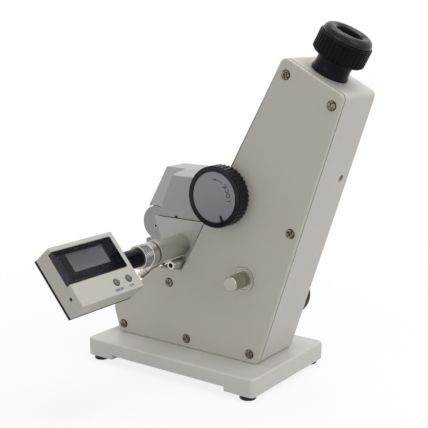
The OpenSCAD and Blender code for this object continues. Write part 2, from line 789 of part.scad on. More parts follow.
module mirror_arm() {
    arm_y = sector_y + sector_t + disc_t;
    color([0.30, 0.30, 0.32]) {
        rod_y(mirror_at, sector_y - over, far_y - wall / 2 - turn_gap, mirror_shaft_r);
        translate([mirror_at[0], 0, mirror_at[1]]) rotate([0, mirror_tilt, 0])
            translate([-arm_l / 2, arm_y, mirror_shaft_r / 2]) cube([arm_l, arm_w + over, arm_t]);
        rod_y(mirror_at, arm_y, arm_y + arm_w + over, mirror_shaft_r + over);
    }
}
module swing_mirror() {
    color([0.86, 0.88, 0.90]) translate([mirror_at[0], 0, mirror_at[1]]) rotate([0, mirror_tilt, 0])
        translate([-arm_l / 2 + over / 2, sector_y + sector_t + disc_t + over / 2,
                   mirror_shaft_r / 2 + arm_t])
            cube([arm_l - over, arm_w, glass_t]);
}

// Prism head: outlines seen from the cover side
hinge_at = [-hinge_x, seam_z - hinge_down];
lobe_off = [0.8, 2.4];
sweep_r = lobe_r + norm(lobe_off) + turn_gap;
block_down = 15.8;
block_low = base_z + stem_h - block_down;
wing_low_x = 47.5;
wing_shelf_down = 21.8;
wing_shelf_h = seam_h - wing_shelf_down;
block_side = [10.5, 5, 9];
block_left_down = [0, 14.8, 26.4];
wing_right_x = 29;
wing_right_down = 9.4;
ear_y = [wing_y, wing_y + ear_w, head_half - ear_w, head_half];
knuckle_r = 11;
pocket_half = 10;
pocket_d = 15;
pocket_l = 24;
pocket_wall = 3.09;
pocket_end = front_x(low_top - pocket_d) - pocket_wall;
pocket_x = [pocket_end - pocket_l, pocket_end];
block_left_x = [for (w = block_side) w - pocket_x[0]];
probe_r = 3.1;
probe_in = 4;
sample_r = 1.4;
sample_x = 12.1;

module lower_near_2d() {
    polygon([
        [-block_left_x[2], block_low], [front_x(block_low), block_low], [front_x(low_top), low_top],
        [-block_left_x[0], low_top], [-block_left_x[1], seam_z - block_left_down[1]],
        [-block_left_x[2], seam_z - block_left_down[2]]
    ]);
}
module lower_wing_2d() {
    polygon([
        [-wing_low_x, block_low], [front_x(block_low), block_low], [front_x(low_top), low_top],
        [-wing_right_x, low_top], [-wing_right_x, seam_z - wing_right_down],
        [-wing_low_x, base_z + wing_shelf_h]
    ]);
}
module lobe_2d() { translate(hinge_at + lobe_off) circle(r = lobe_r, $fn = 96); }

stem_at = [-stem_x, base_z + stem_h];
nozzle_r = 3;
nozzle_bore = 1.7;
nozzle_boss_r = 4.6;
nozzle_boss_l = 3;
low_nozzle_down = 14.8;
low_nozzle_at = [-31, base_z + stem_h - low_nozzle_down];
low_nozzle_turn = -128;
low_nozzle_y = -8.4;
low_nozzle_l = 27;
side_nozzle_down = 12.4;
side_nozzle_at = [-7, base_z + stem_h - side_nozzle_down];
side_nozzle_l = 13;
mirror_pin_out = 1.4;
mirror_pin_up = 1.2;
mirror_pin_at = [-wing_low_x - mirror_pin_out, block_low + mirror_pin_up];
flap_pin_r = 0.9;
flap_gap = 0.3;

module lower_holder() {
    color([0.74, 0.73, 0.70]) difference() {
        union() {
            slab_y(near_y, wing_y) lower_near_2d();
            slab_y(wing_y, head_half) lower_wing_2d();
            for (i = [0, 2]) slab_y(ear_y[i], ear_y[i + 1]) lobe_2d();
        }
        rod_y(hinge_at, ear_y[1] - turn_gap / 2, ear_y[2] + turn_gap / 2, sweep_r, $fn = 96);
        rod_y(hinge_at, wing_y - over, head_half + over, hinge_pin_r);
        translate([pocket_x[0], -pocket_half, low_top - pocket_d])
            cube([pocket_x[1] - pocket_x[0], 2 * pocket_half, pocket_d + over]);
        rod_y(stem_at, near_y - over, near_y + probe_in, probe_r + run_fit);
        translate([-wing_low_x - over, wing_y - over, mirror_pin_at[1] - flap_lug_r - flap_gap])
            cube([over + flap_notch, head_half - wing_y + 2 * over, 2 * flap_lug_r + 2 * flap_gap]);
        rod_y(side_nozzle_at, near_y - over, near_y + probe_in, nozzle_bore);
    }
}
module refracting_prism() {
    color([0.80, 0.90, 0.93]) slab_y(-pocket_half + run_fit, pocket_half - run_fit) polygon([
        [pocket_x[0] + run_fit, low_top], [pocket_x[0] + run_fit, low_top - pocket_d / 2],
        [pocket_x[0] + pocket_d, low_top - pocket_d], [pocket_x[1] - run_fit, low_top - pocket_d],
        [pocket_x[1] - run_fit, low_top]
    ]);
}

// Upper holder: a wing with the slanted light face, and a narrower block in front of it
wing_top_x = 30.6;
wing_face_up = 2;
wing_face_h = seam_h + wing_face_up;
wing_face_x = 48;
block_top_x = 14.1;
block_foot_x = 28.5;
block_drop = 3;
window_w = 12;
window_in = 3;
window_deep = 3.6;
catch_r = 7.2;
module upper_wing_2d() {
    polygon([
        [-wing_right_x - over, up_bottom], [head_x(up_bottom), up_bottom], [head_x(head_top), head_top],
        [-wing_top_x, head_top], [-wing_face_x, base_z + wing_face_h], [-wing_face_x + over, up_bottom]
    ]);
}
module upper_near_2d() {
    polygon([
        [-block_foot_x, up_bottom], [head_x(up_bottom), up_bottom], [head_x(head_top), head_top],
        [-block_top_x, head_top]
    ]);
}
knuckle_start = [-0.9, 0.4];
module knuckle_2d() {
    translate(hinge_at) circle(r = knuckle_r, $fn = 96);
    polygon([
        hinge_at + knuckle_r * knuckle_start, hinge_at + [knuckle_r, 0],
        [-hinge_x + knuckle_r, up_bottom + over], [-wing_face_x + over, up_bottom + over]
    ]);
}
// Light window through the slanted face, square to it
face_dir = unit([wing_face_x - wing_top_x, head_top - base_z - wing_face_h]);
face_turn = atan2(face_dir[0], face_dir[1]);
face_mid = [-(wing_face_x + wing_top_x) / 2, (head_top + base_z + wing_face_h) / 2];
window_l2 = 16;
module entry_glass_2d(grow) {
    polygon([
        [pocket_x[1] + grow, up_bottom + run_fit - grow], [pocket_x[1] + grow, up_bottom + pocket_d + grow],
        face_mid + [window_in * cos(face_turn) + window_l2 * face_dir[0] / 2 - grow,
                    window_l2 * face_dir[1] / 2 + grow],
        face_mid + [window_in * cos(face_turn) - window_l2 * face_dir[0] / 2 - grow,
                    -window_l2 * face_dir[1] / 2 - grow],
        [pocket_x[0] - grow, up_bottom + run_fit - grow]
    ]);
}

module upper_holder() {
    color([0.76, 0.75, 0.72]) difference() {
        union() {
            slab_y(near_y, wing_y) upper_near_2d();
            slab_y(wing_y, head_half) upper_wing_2d();
            slab_y(ear_y[1] + turn_gap, ear_y[2] - turn_gap) knuckle_2d();
        }
        translate([-base_l / 2, near_y, head_top - block_drop])
            rotate([atan2(block_drop, wing_y - near_y), 0, 0]) translate([0, -head_half, 0])
                cube([base_l, head_half + norm([block_drop, wing_y - near_y]), head_half]);
        for (i = [0, 2]) rod_y(hinge_at, ear_y[i] - turn_gap, ear_y[i + 1] + turn_gap, sweep_r, $fn = 96);
        rod_y(hinge_at, ear_y[0], ear_y[3], hinge_pin_r + run_fit);
        slab_y(glass_y[0] - run_fit, glass_y[1] + run_fit) entry_glass_2d(run_fit);
        slab_y(glass_y[0] + over, glass_y[1] - over) polygon([
            face_mid + window_l2 / 2 * face_dir, face_mid - window_l2 / 2 * face_dir,
            face_mid - window_l2 / 2 * face_dir + window_deep * [cos(face_turn), 0],
            face_mid + window_l2 / 2 * face_dir + window_deep * [cos(face_turn), 0]
        ]);
        rod_y([-sample_x, up_bottom], near_y - over, glass_y[0], sample_r);
        rod_y(lock_at, -cam_l / 2 - over, cam_l / 2 + over, catch_r);
        rod_y(shade_pin_at, wing_y - over, head_half + over, flap_pin_r);
        rod_y(shade_pin_at, wing_y + shade_in - turn_gap, head_half - shade_in + turn_gap,
            shade_knuckle_r + turn_gap);
        for (z = upper_nozzle_h)
            rod_y([-upper_nozzle_x, base_z + z], head_half - probe_in, head_half + over, nozzle_bore);
    }
}
glass_in = 3.4;
glass_y = [wing_y + glass_in, head_half - glass_in];
module light_entry_prism() {
    color([0.82, 0.91, 0.94]) slab_y(glass_y[0], glass_y[1]) entry_glass_2d(0);
}

// Shade plate over the light window, on a pin low on the slanted face
shade_t = 1.2;
shade_in = 3;
shade_knuckle_r = 1.9;
shade_off = 1.4;
shade_l = 25;
shade_pin_in = 2.7;
shade_pin_up = 2.6;
shade_pin_at = [-wing_face_x + shade_pin_in, base_z + wing_face_h + shade_pin_up];
module shade_pin() {
    color([0.30, 0.30, 0.31]) rod_y(shade_pin_at, wing_y, head_half, flap_pin_r);
}
module shade_plate() {
    color([0.74, 0.73, 0.71]) difference() {
        union() {
            rod_y(shade_pin_at, wing_y + shade_in + turn_gap, head_half - shade_in - turn_gap,
                shade_knuckle_r);
            translate([shade_pin_at[0], 0, shade_pin_at[1]]) rotate([0, face_turn, 0])
                translate([-shade_off - shade_t, wing_y + shade_in, turn_gap])
                    cube([shade_t, head_half - wing_y - 2 * shade_in, shade_l]);
        }
        rod_y(shade_pin_at, wing_y, head_half, flap_pin_r + run_fit);
    }
}

// Reflector mirror in its frame, on a pin at the foot of the lower holder's end
flap_t = 3;
flap_lug_r = 1.6;
flap_notch = 1.8;
flap_rim = 2;
module mirror_frame() {
    x1 = -wing_low_x - flap_gap;
    z0 = mirror_pin_at[1];
    color([0.72, 0.71, 0.69]) difference() {
        union() {
            translate([x1 - flap_t, wing_y, z0]) 
                cube([flap_t, head_half - wing_y, base_z + wing_shelf_h - z0]);
            rod_y(mirror_pin_at, wing_y, head_half, flap_lug_r);
        }
        translate([x1 - glass_t, wing_y + flap_rim, z0 + flap_lug_r + flap_gap])
            cube([flap_t, head_half - wing_y - 2 * flap_rim,
                  base_z + wing_shelf_h - z0 - flap_lug_r - flap_rim]);
        rod_y(mirror_pin_at, wing_y - over, head_half + over, flap_pin_r + run_fit);
    }
}
module mirror_glass() {
    x1 = -wing_low_x - flap_gap;
    z0 = mirror_pin_at[1];
    color([0.86, 0.88, 0.90])
        translate([x1 - glass_t, wing_y + flap_rim + run_fit, z0 + flap_lug_r + flap_gap + run_fit])
            cube([glass_t, head_half - wing_y - 2 * flap_rim - 2 * run_fit,
                  base_z + wing_shelf_h - z0 - flap_lug_r - flap_rim - flap_gap - 2 * run_fit]);
}
module hinge_pins() {
    color([0.28, 0.28, 0.30]) {
        rod_y(hinge_at, wing_y, head_half, hinge_pin_r);
        rod_y(mirror_pin_at, wing_y - over, head_half + over, flap_pin_r);
    }
}

// A hose nozzle along Z: a boss, a plain neck and three barbs, with a bore
barb_l = 3;
barb_up = 0.7;
barb_share = 0.9;
module nozzle(l, boss = nozzle_boss_r) {
    plain = l - 3 * barb_l;
    rotate_extrude() polygon([
        [nozzle_bore, 0], [boss, 0], [boss, nozzle_boss_l], [nozzle_r, nozzle_boss_l],
        [nozzle_r, plain],
        for (i = [0:2]) each [
            [nozzle_r + barb_up, plain + i * barb_l], [nozzle_r, plain + (i + barb_share) * barb_l]],
        [nozzle_bore, l]
    ]);
}
module lower_nozzles() {
    color([0.76, 0.77, 0.78]) {
        difference() {
            translate([low_nozzle_at[0], low_nozzle_y, low_nozzle_at[1]]) rotate([0, low_nozzle_turn, 0])
                nozzle(low_nozzle_l);
            slab_y(near_y, wing_y) lower_near_2d();
        }
        translate([side_nozzle_at[0], near_y, side_nozzle_at[1]]) rotate([90, 0, 0])
            nozzle(side_nozzle_l, nozzle_r + barb_up);
    }
}
upper_nozzle_x = 18;
nozzle_shares = [0.23, 0.715];
upper_nozzle_h = [for (k = nozzle_shares) seam_h + k * upper_h];
module upper_nozzles() {
    color([0.76, 0.77, 0.78]) for (z = upper_nozzle_h)
        translate([-upper_nozzle_x, head_half, base_z + z]) rotate([-90, 0, 0]) nozzle(side_nozzle_l);
}

// Condenser on the far side: a barrel with a lens that lights the scale
cond_wall = 4.4;
cond_rib_w = 1.2;
module condenser_barrel() {
    color([0.14, 0.14, 0.15]) difference() {
        union() {
            rod_y(cond_at, far_y, far_y + cond_l, cond_r - over);
            rod_y(cond_at, far_y + cond_l / 2, far_y + cond_l, cond_r);
        }
        rod_y(cond_at, far_y - over, far_y + cond_l + over, cond_r - cond_wall);
    }
}
module condenser_lens() {
    color([0.82, 0.88, 0.90]) translate([cond_at[0], far_y + cond_l / 2, cond_at[1]]) rotate([-90, 0, 0])
        lens(cond_r - cond_wall - run_fit, cond_l / 3);
}

// Thermometer seat, union nut and stem: distances along the stem's axis from the head
seat_flange_r = 8.6;
seat_flange_t = 5.4;
spigot_r = 5;
spigot_l = 9.8;
nut_l = 14.6;
nut_gap = 1.2;
nut_ribs = 32;
nut_rim_l = 6.6;
nut_ring_w = 0.7;
nut_ring_d = 0.5;
flange_y = near_y - barrel_l;
spigot_y = flange_y - seat_flange_t;
nut_y = spigot_y - nut_gap;
rim_y = nut_y - nut_rim_l;
collar_y = nut_y - nut_l - turn_gap;
display_y = nut_y - nut_l - collar_l;
module thermometer_seat() {
    color([0.75, 0.74, 0.71]) difference() {
        union() {
            rod_y(stem_at, flange_y, near_y, barrel_r);
            rod_y(stem_at, spigot_y, flange_y, seat_flange_r);
            rod_y(stem_at, spigot_y - spigot_l, spigot_y, spigot_r);
        }
        rod_y(stem_at, spigot_y - spigot_l - over, near_y + over, probe_r + run_fit);
    }
}
module union_nut() {
    color([0.62, 0.63, 0.66]) difference() {
        union() {
            rod_y(stem_at, nut_y - nut_l, nut_y - 2 * over, nut_r);
            rod_y(stem_at, nut_y - 2 * over, nut_y, nut_r - over / 2);
        }
        rod_y(stem_at, nut_y - nut_l - over, nut_y + over, spigot_r + run_fit);
        for (i = [0:nut_ribs - 1]) rod_y(
            stem_at + (nut_r + rib_r / 2) * [cos(360 * i / nut_ribs), sin(360 * i / nut_ribs)],
            nut_y - nut_l + over, rim_y, rib_r, $fn = 12);
        difference() {
            rod_y(stem_at, rim_y - nut_ring_w / 2, rim_y + nut_ring_w / 2, nut_r + over);
            rod_y(stem_at, rim_y - nut_ring_w, rim_y + nut_ring_w, nut_r - nut_ring_d);
        }
    }
}
module stem_collar() {
    color([0.08, 0.08, 0.09]) rod_y(stem_at, display_y, collar_y, collar_r);
}
module stem_probe() {
    color([0.66, 0.67, 0.68]) rod_y(stem_at, collar_y, near_y + probe_in - turn_gap, probe_r);
}

// Display: seen square to its face, x runs down the face, y along the stem and z out of the face
face_up = 20.6;
face_front = 6;
shell_t = 1.6;
window_up = 17.2;
window_end = 0.2;
window_t = 3.4;
window_proud = 0.7;
lcd_l = 38;
lcd_h = 18;
lcd_t = 1.4;
button_r = 2.2;
button_h = 4;
button_lip = 0.9;
button_lip_h = 1.3;
button_proud = 0.8;
button_down = 13.3;
button_in = [20.2, 9];
reset_r = 1.1;
reset_down = 12.6;
module in_display() {
    translate([stem_at[0], display_y, stem_at[1]]) rotate([0, face_tilt, 0]) children();
}
module display_body() {
    color([0.73, 0.71, 0.66]) in_display() difference() {
        translate([-face_up, -display_l, face_front - display_t]) cube([display_h, display_l, display_t]);
        translate([shell_t - face_up, shell_t - display_l, face_front - display_t - over])
            cube([display_h - 2 * shell_t, display_l - 2 * shell_t, display_t - shell_t + over]);
        translate([-window_up, -display_l - over, face_front - window_t])
            cube([window_h, window_l + window_end + over, window_t + over]);
        for (y = button_in) translate([button_down, -y, 0])
            cylinder(h = 2 * display_t, r = button_r + turn_gap / 2);
        translate([reset_down, -display_l - over, 0]) rotate([-90, 0, 0])
            cylinder(h = 2 * shell_t, r = reset_r);
    }
}
module display_back() {
    color([0.09, 0.09, 0.10]) in_display() union() {
        translate([-face_up, -display_l, face_front - display_t - back_t])
            cube([display_h, display_l, back_t]);
        translate([shell_t + run_fit - face_up, shell_t + run_fit - display_l, face_front - display_t])
            cube([display_h - 2 * (shell_t + run_fit), display_l - 2 * (shell_t + run_fit), shell_t / 2]);
    }
}
module display_window() {
    color([0.06, 0.06, 0.09]) in_display()
        translate([-window_up + run_fit, -display_l + window_end, face_front - window_t])
            cube([window_h - 2 * run_fit, window_l - run_fit, window_t + window_proud]);
}
module lcd_panel() {
    color([0.42, 0.43, 0.42]) in_display()
        translate([(window_h - lcd_h) / 2 - window_up, (window_l - lcd_l) / 2 - display_l,
                   face_front - window_t - lcd_t])
            cube([lcd_h, lcd_l, lcd_t]);
}
module button(i) {
    in_display() translate([button_down, -button_in[i], face_front + button_proud - button_h]) {
        cylinder(h = button_h, r = button_r);
        cylinder(h = button_lip_h, r = button_r + button_lip);
    }
}
module button_power() { color([0.45, 0.45, 0.47]) button(0); }
module button_unit() { color([0.45, 0.45, 0.47]) button(1); }

// Adjusting screw behind the hole in the rear wall
module adjusting_screw() {
    color([0.60, 0.60, 0.62]) at_adjuster() difference() {
        translate([0, 0, turn_gap - adjust_l]) cylinder(h = adjust_l - turn_gap - over, r = adjust_r);
        translate([-adjust_r - over, -slot_w / 2, -over - slot_d])
            cube([2 * adjust_r + 2 * over, slot_w, over + slot_d]);
    }
}

base_plate();
rubber_feet();
foot_screws();
housing_shell();
side_cover();
cover_screws();
housing_bolts();
eyepiece_tube();
reticle();
compensator_frame();
objective_cell();
objective_lens();
shaft_bushes();
knob_flange();
lower_holder();
refracting_prism();
hinge_pins();
lower_nozzles();
condenser_barrel();
condenser_lens();
thermometer_seat();
upper_holder();
light_entry_prism();
upper_nozzles();
shade_pin();
shade_plate();
mirror_frame();
mirror_glass();
lock_wheel();
lock_disc();
lock_shaft();
lock_cam();
scale_knob();
scale_shaft();
mirror_arm();
swing_mirror();
scale_sector();
scale_disc();
dispersion_wheel();
dispersion_ring();
dispersion_shaft();
amici_cell_a();
amici_prism_a();
amici_cell_b();
amici_prism_b();
focus_ring();
eyecup();
lens_cell();
eyepiece_lenses();
adjusting_screw();
union_nut();
stem_collar();
stem_probe();
display_body();
display_back();
display_window();
lcd_panel();
button_power();
button_unit();
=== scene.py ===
# %% [markdown]
# # Dressing a bench refractometer
#
# The solid model of the instrument is already made, in millimetre-true pieces that turn and slide on
# their joints. This lesson gives those pieces their looks: softened castings, a ribbed hand wheel, a
# knurled nut, printed marks, enamel, blasted metal, rubber and glass. Everything stays in the frame
# of the solid model: X runs from the prism head to the eyepiece, Z is up, and the cover faces -Y.

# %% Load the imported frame
import math

import bmesh
import bpy
from mathutils import Matrix, Vector


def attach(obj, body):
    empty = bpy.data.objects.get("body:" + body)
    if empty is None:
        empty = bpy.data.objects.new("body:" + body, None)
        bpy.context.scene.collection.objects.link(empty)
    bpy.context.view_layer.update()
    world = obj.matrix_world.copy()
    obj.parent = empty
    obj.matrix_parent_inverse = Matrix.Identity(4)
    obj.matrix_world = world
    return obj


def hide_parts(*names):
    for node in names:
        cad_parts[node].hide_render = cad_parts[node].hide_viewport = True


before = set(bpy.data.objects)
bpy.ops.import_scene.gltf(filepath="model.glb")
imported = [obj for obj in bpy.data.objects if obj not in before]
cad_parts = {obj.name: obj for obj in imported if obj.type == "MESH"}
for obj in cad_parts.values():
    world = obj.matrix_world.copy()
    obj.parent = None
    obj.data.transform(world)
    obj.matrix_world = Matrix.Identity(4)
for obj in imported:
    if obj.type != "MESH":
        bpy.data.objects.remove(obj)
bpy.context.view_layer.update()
MM = 0.001
print("pieces in the frame:", len(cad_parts))

# %% [markdown]
# ## Places that the lesson comes back to
#
# The optical axis leans back by 28.5 degrees and meets the housing's top at the eyepiece seat. The
# display leans too, by 49 degrees about its stem. Naming both once lets each later step place its
# pieces in plain local sizes, in millimetres.

# %% Name the main places
TILT, FACE_TILT = 28.5, 49
SEAT = Vector((95.7, 0, 208.1)) * MM
STEM = Vector((-7.9, 0, 88.3)) * MM
DISPLAY_Y = -78.8
LOCK = Vector((31.608, 0, 128.2)) * MM
DISPERSION = Vector((58.482, 0, 139.552)) * MM


def move(x, y, z):
    """A move by that many millimetres."""
    return Matrix.Translation(Vector((x, y, z)) * MM)


def turn(degrees, axis="Z"):
    return Matrix.Rotation(math.radians(degrees), 4, axis)


EYE_PLACE = Matrix.Translation(SEAT) @ turn(TILT, "Y")
DISPLAY_PLACE = Matrix.Translation(STEM) @ move(0, DISPLAY_Y, 0) @ turn(FACE_TILT, "Y")
FACING_US = turn(90, "X")
print("display at", [round(number / MM, 1) for number in DISPLAY_PLACE.translation])


# %% [markdown]
# ## Working by hand, in code
#
# Blender's operators act on whatever is selected, so each step starts by selecting one object and
# nothing else. A solid model's mesh arrives as loose triangles. Before it can be bevelled, a copy of
# it has its doubled points merged, and the triangles of each flat side are dissolved into one face.

# %% Helpers to select, shape and settle a piece
SHARP = math.radians(35)


def only(piece):
    if bpy.context.object and bpy.context.object.mode != "OBJECT":
        bpy.ops.object.mode_set(mode="OBJECT")
    bpy.ops.object.select_all(action="DESELECT")
    piece.select_set(True)
    bpy.context.view_layer.objects.active = piece


def in_edit(piece, *steps):
    """Runs operators in edit mode, with all of the piece selected at the start."""
    only(piece)
    bpy.ops.object.mode_set(mode="EDIT")
    bpy.ops.mesh.select_all(action="SELECT")
    for step in steps:
        step()
    bpy.ops.object.mode_set(mode="OBJECT")


def apply_all(piece):
    only(piece)
    for modifier in list(piece.modifiers):
        bpy.ops.object.modifier_apply(modifier=modifier.name)


def smooth(piece, degrees=32):
    """Smooth shading up to that angle, with flat sides kept flat next to their rounded edges."""
    only(piece)
    bpy.ops.object.shade_smooth_by_angle(angle=math.radians(degrees))
    weigh = piece.modifiers.new("even sides", "WEIGHTED_NORMAL")
    weigh.keep_sharp = True
    weigh.weight = 90
    apply_all(piece)


def settle(piece):
    """Puts the piece's place into its mesh, so that its object is at the origin, unturned."""
    only(piece)
    bpy.ops.object.transform_apply(location=True, rotation=True, scale=True)
    piece.data.update()
    return piece


def join(pieces, name):
    only(pieces[0])
    for piece in pieces[1:]:
        piece.select_set(True)
    bpy.ops.object.join()
    pieces[0].name = name
    return pieces[0]


def merged_copy(node, name):
    """A copy of a node of the frame, merged and with whole flat faces, to be worked on."""
    piece = bpy.data.objects.new(name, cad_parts[node].data.copy())
    bpy.context.scene.collection.objects.link(piece)
    piece.data.materials.clear()
    only(piece)
    if piece.data.has_custom_normals:
        bpy.ops.mesh.customdata_custom_splitnormals_clear()
    in_edit(piece,
            lambda: bpy.ops.mesh.remove_doubles(threshold=0.002 * MM),
            lambda: bpy.ops.mesh.dissolve_limited(angle_limit=math.radians(0.3)))
    return piece


def soften(piece, width, segments=3, where=None, rest=0.0):
    """Bevels the sharp edges. where(middle) may pick the ones that get the full width."""
    mesh = piece.data
    weights = mesh.attributes.new("bevel_weight_edge", "FLOAT", "EDGE")
    sides = {}
    for face in mesh.polygons:
        for key in face.edge_keys:
            sides.setdefault(key, []).append(face.normal)
    for edge in mesh.edges:
        pair = sides.get(tuple(sorted(edge.vertices)), [])
        if len(pair) != 2 or pair[0].angle(pair[1], 0) < SHARP:
            continue
        a, b = (mesh.vertices[v].co for v in edge.vertices)
        full = where is None or where((a + b) / 2 / MM)
        weights.data[edge.index].value = 1.0 if full else rest
    bevel = piece.modifiers.new("edges", "BEVEL")
    bevel.limit_method = "WEIGHT"
    bevel.width = width * MM
    bevel.segments = segments
    bevel.use_clamp_overlap = False
    bevel.miter_outer = "MITER_ARC"
    apply_all(piece)


def select_where(piece, rule, kind="FACE"):
    """Starts edit mode and selects the faces or edges whose middle, in millimetres, the rule accepts."""
    only(piece)
    bpy.ops.object.mode_set(mode="EDIT")
    bpy.ops.mesh.select_mode(type=kind)
    bpy.ops.mesh.select_all(action="DESELECT")
    shape = bmesh.from_edit_mesh(piece.data)
    for part in shape.faces if kind == "FACE" else shape.edges:
        corners = [corner.co for corner in part.verts]
        if rule(sum(corners, Vector((0, 0, 0))) / len(corners) / MM):
            part.select_set(True)
    shape.select_flush_mode()
    bmesh.update_edit_mesh(piece.data)


def hand_over(piece, body, slot, finish, *nodes):
    """The last step for each piece: its finish, its body and the nodes that it stands for."""
    piece.data.materials.clear()
    piece.data.materials.append(finish)
    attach(piece, body)
    if nodes:
        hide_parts(*nodes)
    print(piece.name, len(piece.data.polygons), "faces")


def ease(node, name, body, slot, finish, width, segments=3, where=None, rest=0.0, degrees=32):
    """Copies a node, bevels and smooths the copy, and hands it over in the node's place."""
    piece = merged_copy(node, name)
    soften(piece, width, segments, where, rest)
    smooth(piece, degrees)
    hand_over(piece, body, slot, finish, node)
    return piece


def second_finish(piece, finish, rule):
    """Gives another finish to the faces that the rule accepts."""
    piece.data.materials.append(finish)
    for face in piece.data.polygons:
        if rule(face):
            face.material_index = 1


# %% [markdown]
# ## The photograph's camera
#
# The instrument is seen from its cover side and a little from behind, from about half a metre, with
# a short telephoto. The three numbers of the place and the two turns were solved from the edges of
# the base plate and the housing, so the picture's perspective and the real one agree.

# %% Set up the camera
camera_data = bpy.data.cameras.new("portrait")
camera_data.lens = 75.76
camera_data.sensor_width = 36
camera = bpy.data.objects.new("portrait", camera_data)
camera.location = (0.3651, -0.4992, 0.2348)
camera.rotation_euler = (math.radians(78.4), 0, math.radians(35.57))
bpy.context.scene.collection.objects.link(camera)
bpy.context.scene.camera = camera
bpy.context.scene.view_settings.view_transform = "Standard"
print("camera at", tuple(round(number, 4) for number in camera.location))


# %% [markdown]
# ## Shader maths that reads like maths
#
# A material is a small graph of nodes. Written one node at a time it is hard to read, so one small
# class wraps a socket and turns +, -, * and / into Math nodes. A second class holds a graph and adds
# any other node by its type, its settings and the values or links of its sockets. A third one is the
# graph of a material, with the few patterns that all the finishes are mixed from.

# %% Wrap sockets and materials
class Wire:
    def __init__(self, graph, socket):
        self.graph, self.socket = graph, socket

    def maths(self, operation, first, second=0.0, clamp=False):
        settings = {"operation": operation, "use_clamp": clamp}
        return self.graph.add("ShaderNodeMath", settings, {0: first, 1: second})

    def __add__(self, other): return self.maths("ADD", self, other)
    def __radd__(self, other): return self.maths("ADD", other, self)
    def __sub__(self, other): return self.maths("SUBTRACT", self, other)
    def __rsub__(self, other): return self.maths("SUBTRACT", other, self)
    def __mul__(self, other): return self.maths("MULTIPLY", self, other)
    def __rmul__(self, other): return self.maths("MULTIPLY", other, self)
    def __truediv__(self, other): return self.maths("DIVIDE", self, other)
    def __gt__(self, other): return self.maths("GREATER_THAN", self, other)
    def __lt__(self, other): return self.maths("LESS_THAN", self, other)
    def clamped(self): return self.maths("ADD", self, 0.0, clamp=True)
    def size(self): return self.maths("ABSOLUTE", self)


class Graph:
    def __init__(self, tree):
        self.tree = tree

    def feed(self, socket, value):
        if isinstance(value, Wire):
            self.tree.links.new(value.socket, socket)
        elif isinstance(value, (tuple, list)) and len(value) == 3 and socket.type == "RGBA":
            socket.default_value = (*value, 1.0)
        else:
            socket.default_value = value

    def add(self, kind, settings=None, sockets=None, out=0):
        node = self.tree.nodes.new(kind)
        for key, value in (settings or {}).items():
            setattr(node, key, value)
        for key, value in (sockets or {}).items():
            self.feed(node.inputs[key], value)
        return Wire(self, node.outputs[out])

    def outputs(self, wire, *names):
        """More outputs of the node that a wire comes from."""
        return [Wire(self, wire.socket.node.outputs[name]) for name in names]

    def rays_seen(self):
        """1 for a ray that comes straight from the camera, from a reflection or through glass."""
        path = self.add("ShaderNodeLightPath")
        straight, mirrored, through = self.outputs(
            path, "Is Camera Ray", "Is Glossy Ray", "Is Transmission Ray")
        return (straight + mirrored + through).clamped()


class Finish(Graph):
    def __init__(self, name, **plain):
        self.material = bpy.data.materials.new(name)
        self.material.use_nodes = True
        super().__init__(self.material.node_tree)
        self.shader = self.tree.nodes["Principled BSDF"]
        self.wear(**plain)

    def wear(self, **sockets):
        for socket, value in sockets.items():
            self.feed(self.shader.inputs[socket.replace("_", " ")], value)

    def place(self, turn=None, shift=None, stretch=None):
        """Object coordinates in metres, turned, shifted or stretched where that is asked for."""
        here = self.add("ShaderNodeTexCoord", out="Object")
        if not (turn or shift or stretch):
            return here
        return self.add("ShaderNodeMapping", {"vector_type": "TEXTURE"}, {
            "Vector": here, "Location": shift or (0, 0, 0), "Rotation": turn or (0, 0, 0),
            "Scale": stretch or (1, 1, 1)})

    def noise(self, size_mm, where=None, detail=3.0, roughness=0.5):
        return self.add("ShaderNodeTexNoise", None, {
            "Vector": where or self.place(), "Scale": 1 / (size_mm * MM), "Detail": detail,
            "Roughness": roughness}, out="Fac")

    def mix(self, share, first, second):
        return self.add("ShaderNodeMix", {"data_type": "RGBA"}, {0: share, 6: first, 7: second}, out=2)

    def relief(self, height, depth_mm, strength):
        """Bumps from a height between 0 and 1, that deep in millimetres."""
        self.wear(Normal=self.add("ShaderNodeBump", None, {
            "Height": height, "Distance": depth_mm * MM, "Strength": strength}, out="Normal"))
        return self


def from_screen(*rgb):
    """A colour as a screen shows it, 0 to 255, as the light that a shader works with."""
    return tuple(c / 255 / 12.92 if c <= 10 else ((c / 255 + 0.055) / 1.055) ** 2.4 for c in rgb)


# %% [markdown]
# ## Enamel
#
# The castings are sprayed with a satin stoving enamel. Up close such paint has a faint orange peel,
# waves of about a millimetre, over a slower unevenness of the coat. The colour is nearly even,
# with a little greying where hands and dust settle. One recipe serves three tones of it.

# %% Mix the enamels
def enamel(name, tone, shade, rough=0.42):
    paint = Finish(name, IOR=1.5, Coat_Weight=0.15, Coat_Roughness=0.25)
    slow = paint.noise(38, detail=2)
    grain = paint.noise(0.9, detail=2)
    dust = paint.noise(6, detail=6, roughness=0.65)
    cover = ((slow - 0.5) * 1.1 + (dust - 0.5) * 0.7 + 0.5).clamped()
    paint.wear(Base_Color=paint.mix(cover, shade, tone),
               Roughness=rough + (dust - 0.5) * 0.12 + (slow - 0.5) * 0.06)
    return paint.relief(grain * 0.6 + slow * 0.4, 0.035, 0.5).material


shell_enamel = enamel("shell_enamel", from_screen(213, 208, 202), from_screen(206, 200, 193))
cover_enamel = enamel("cover_enamel", from_screen(205, 201, 190), from_screen(198, 194, 182), 0.46)
base_enamel = enamel("base_enamel", from_screen(219, 218, 212), from_screen(211, 210, 203), 0.45)
print("enamels mixed:", len(bpy.data.materials))


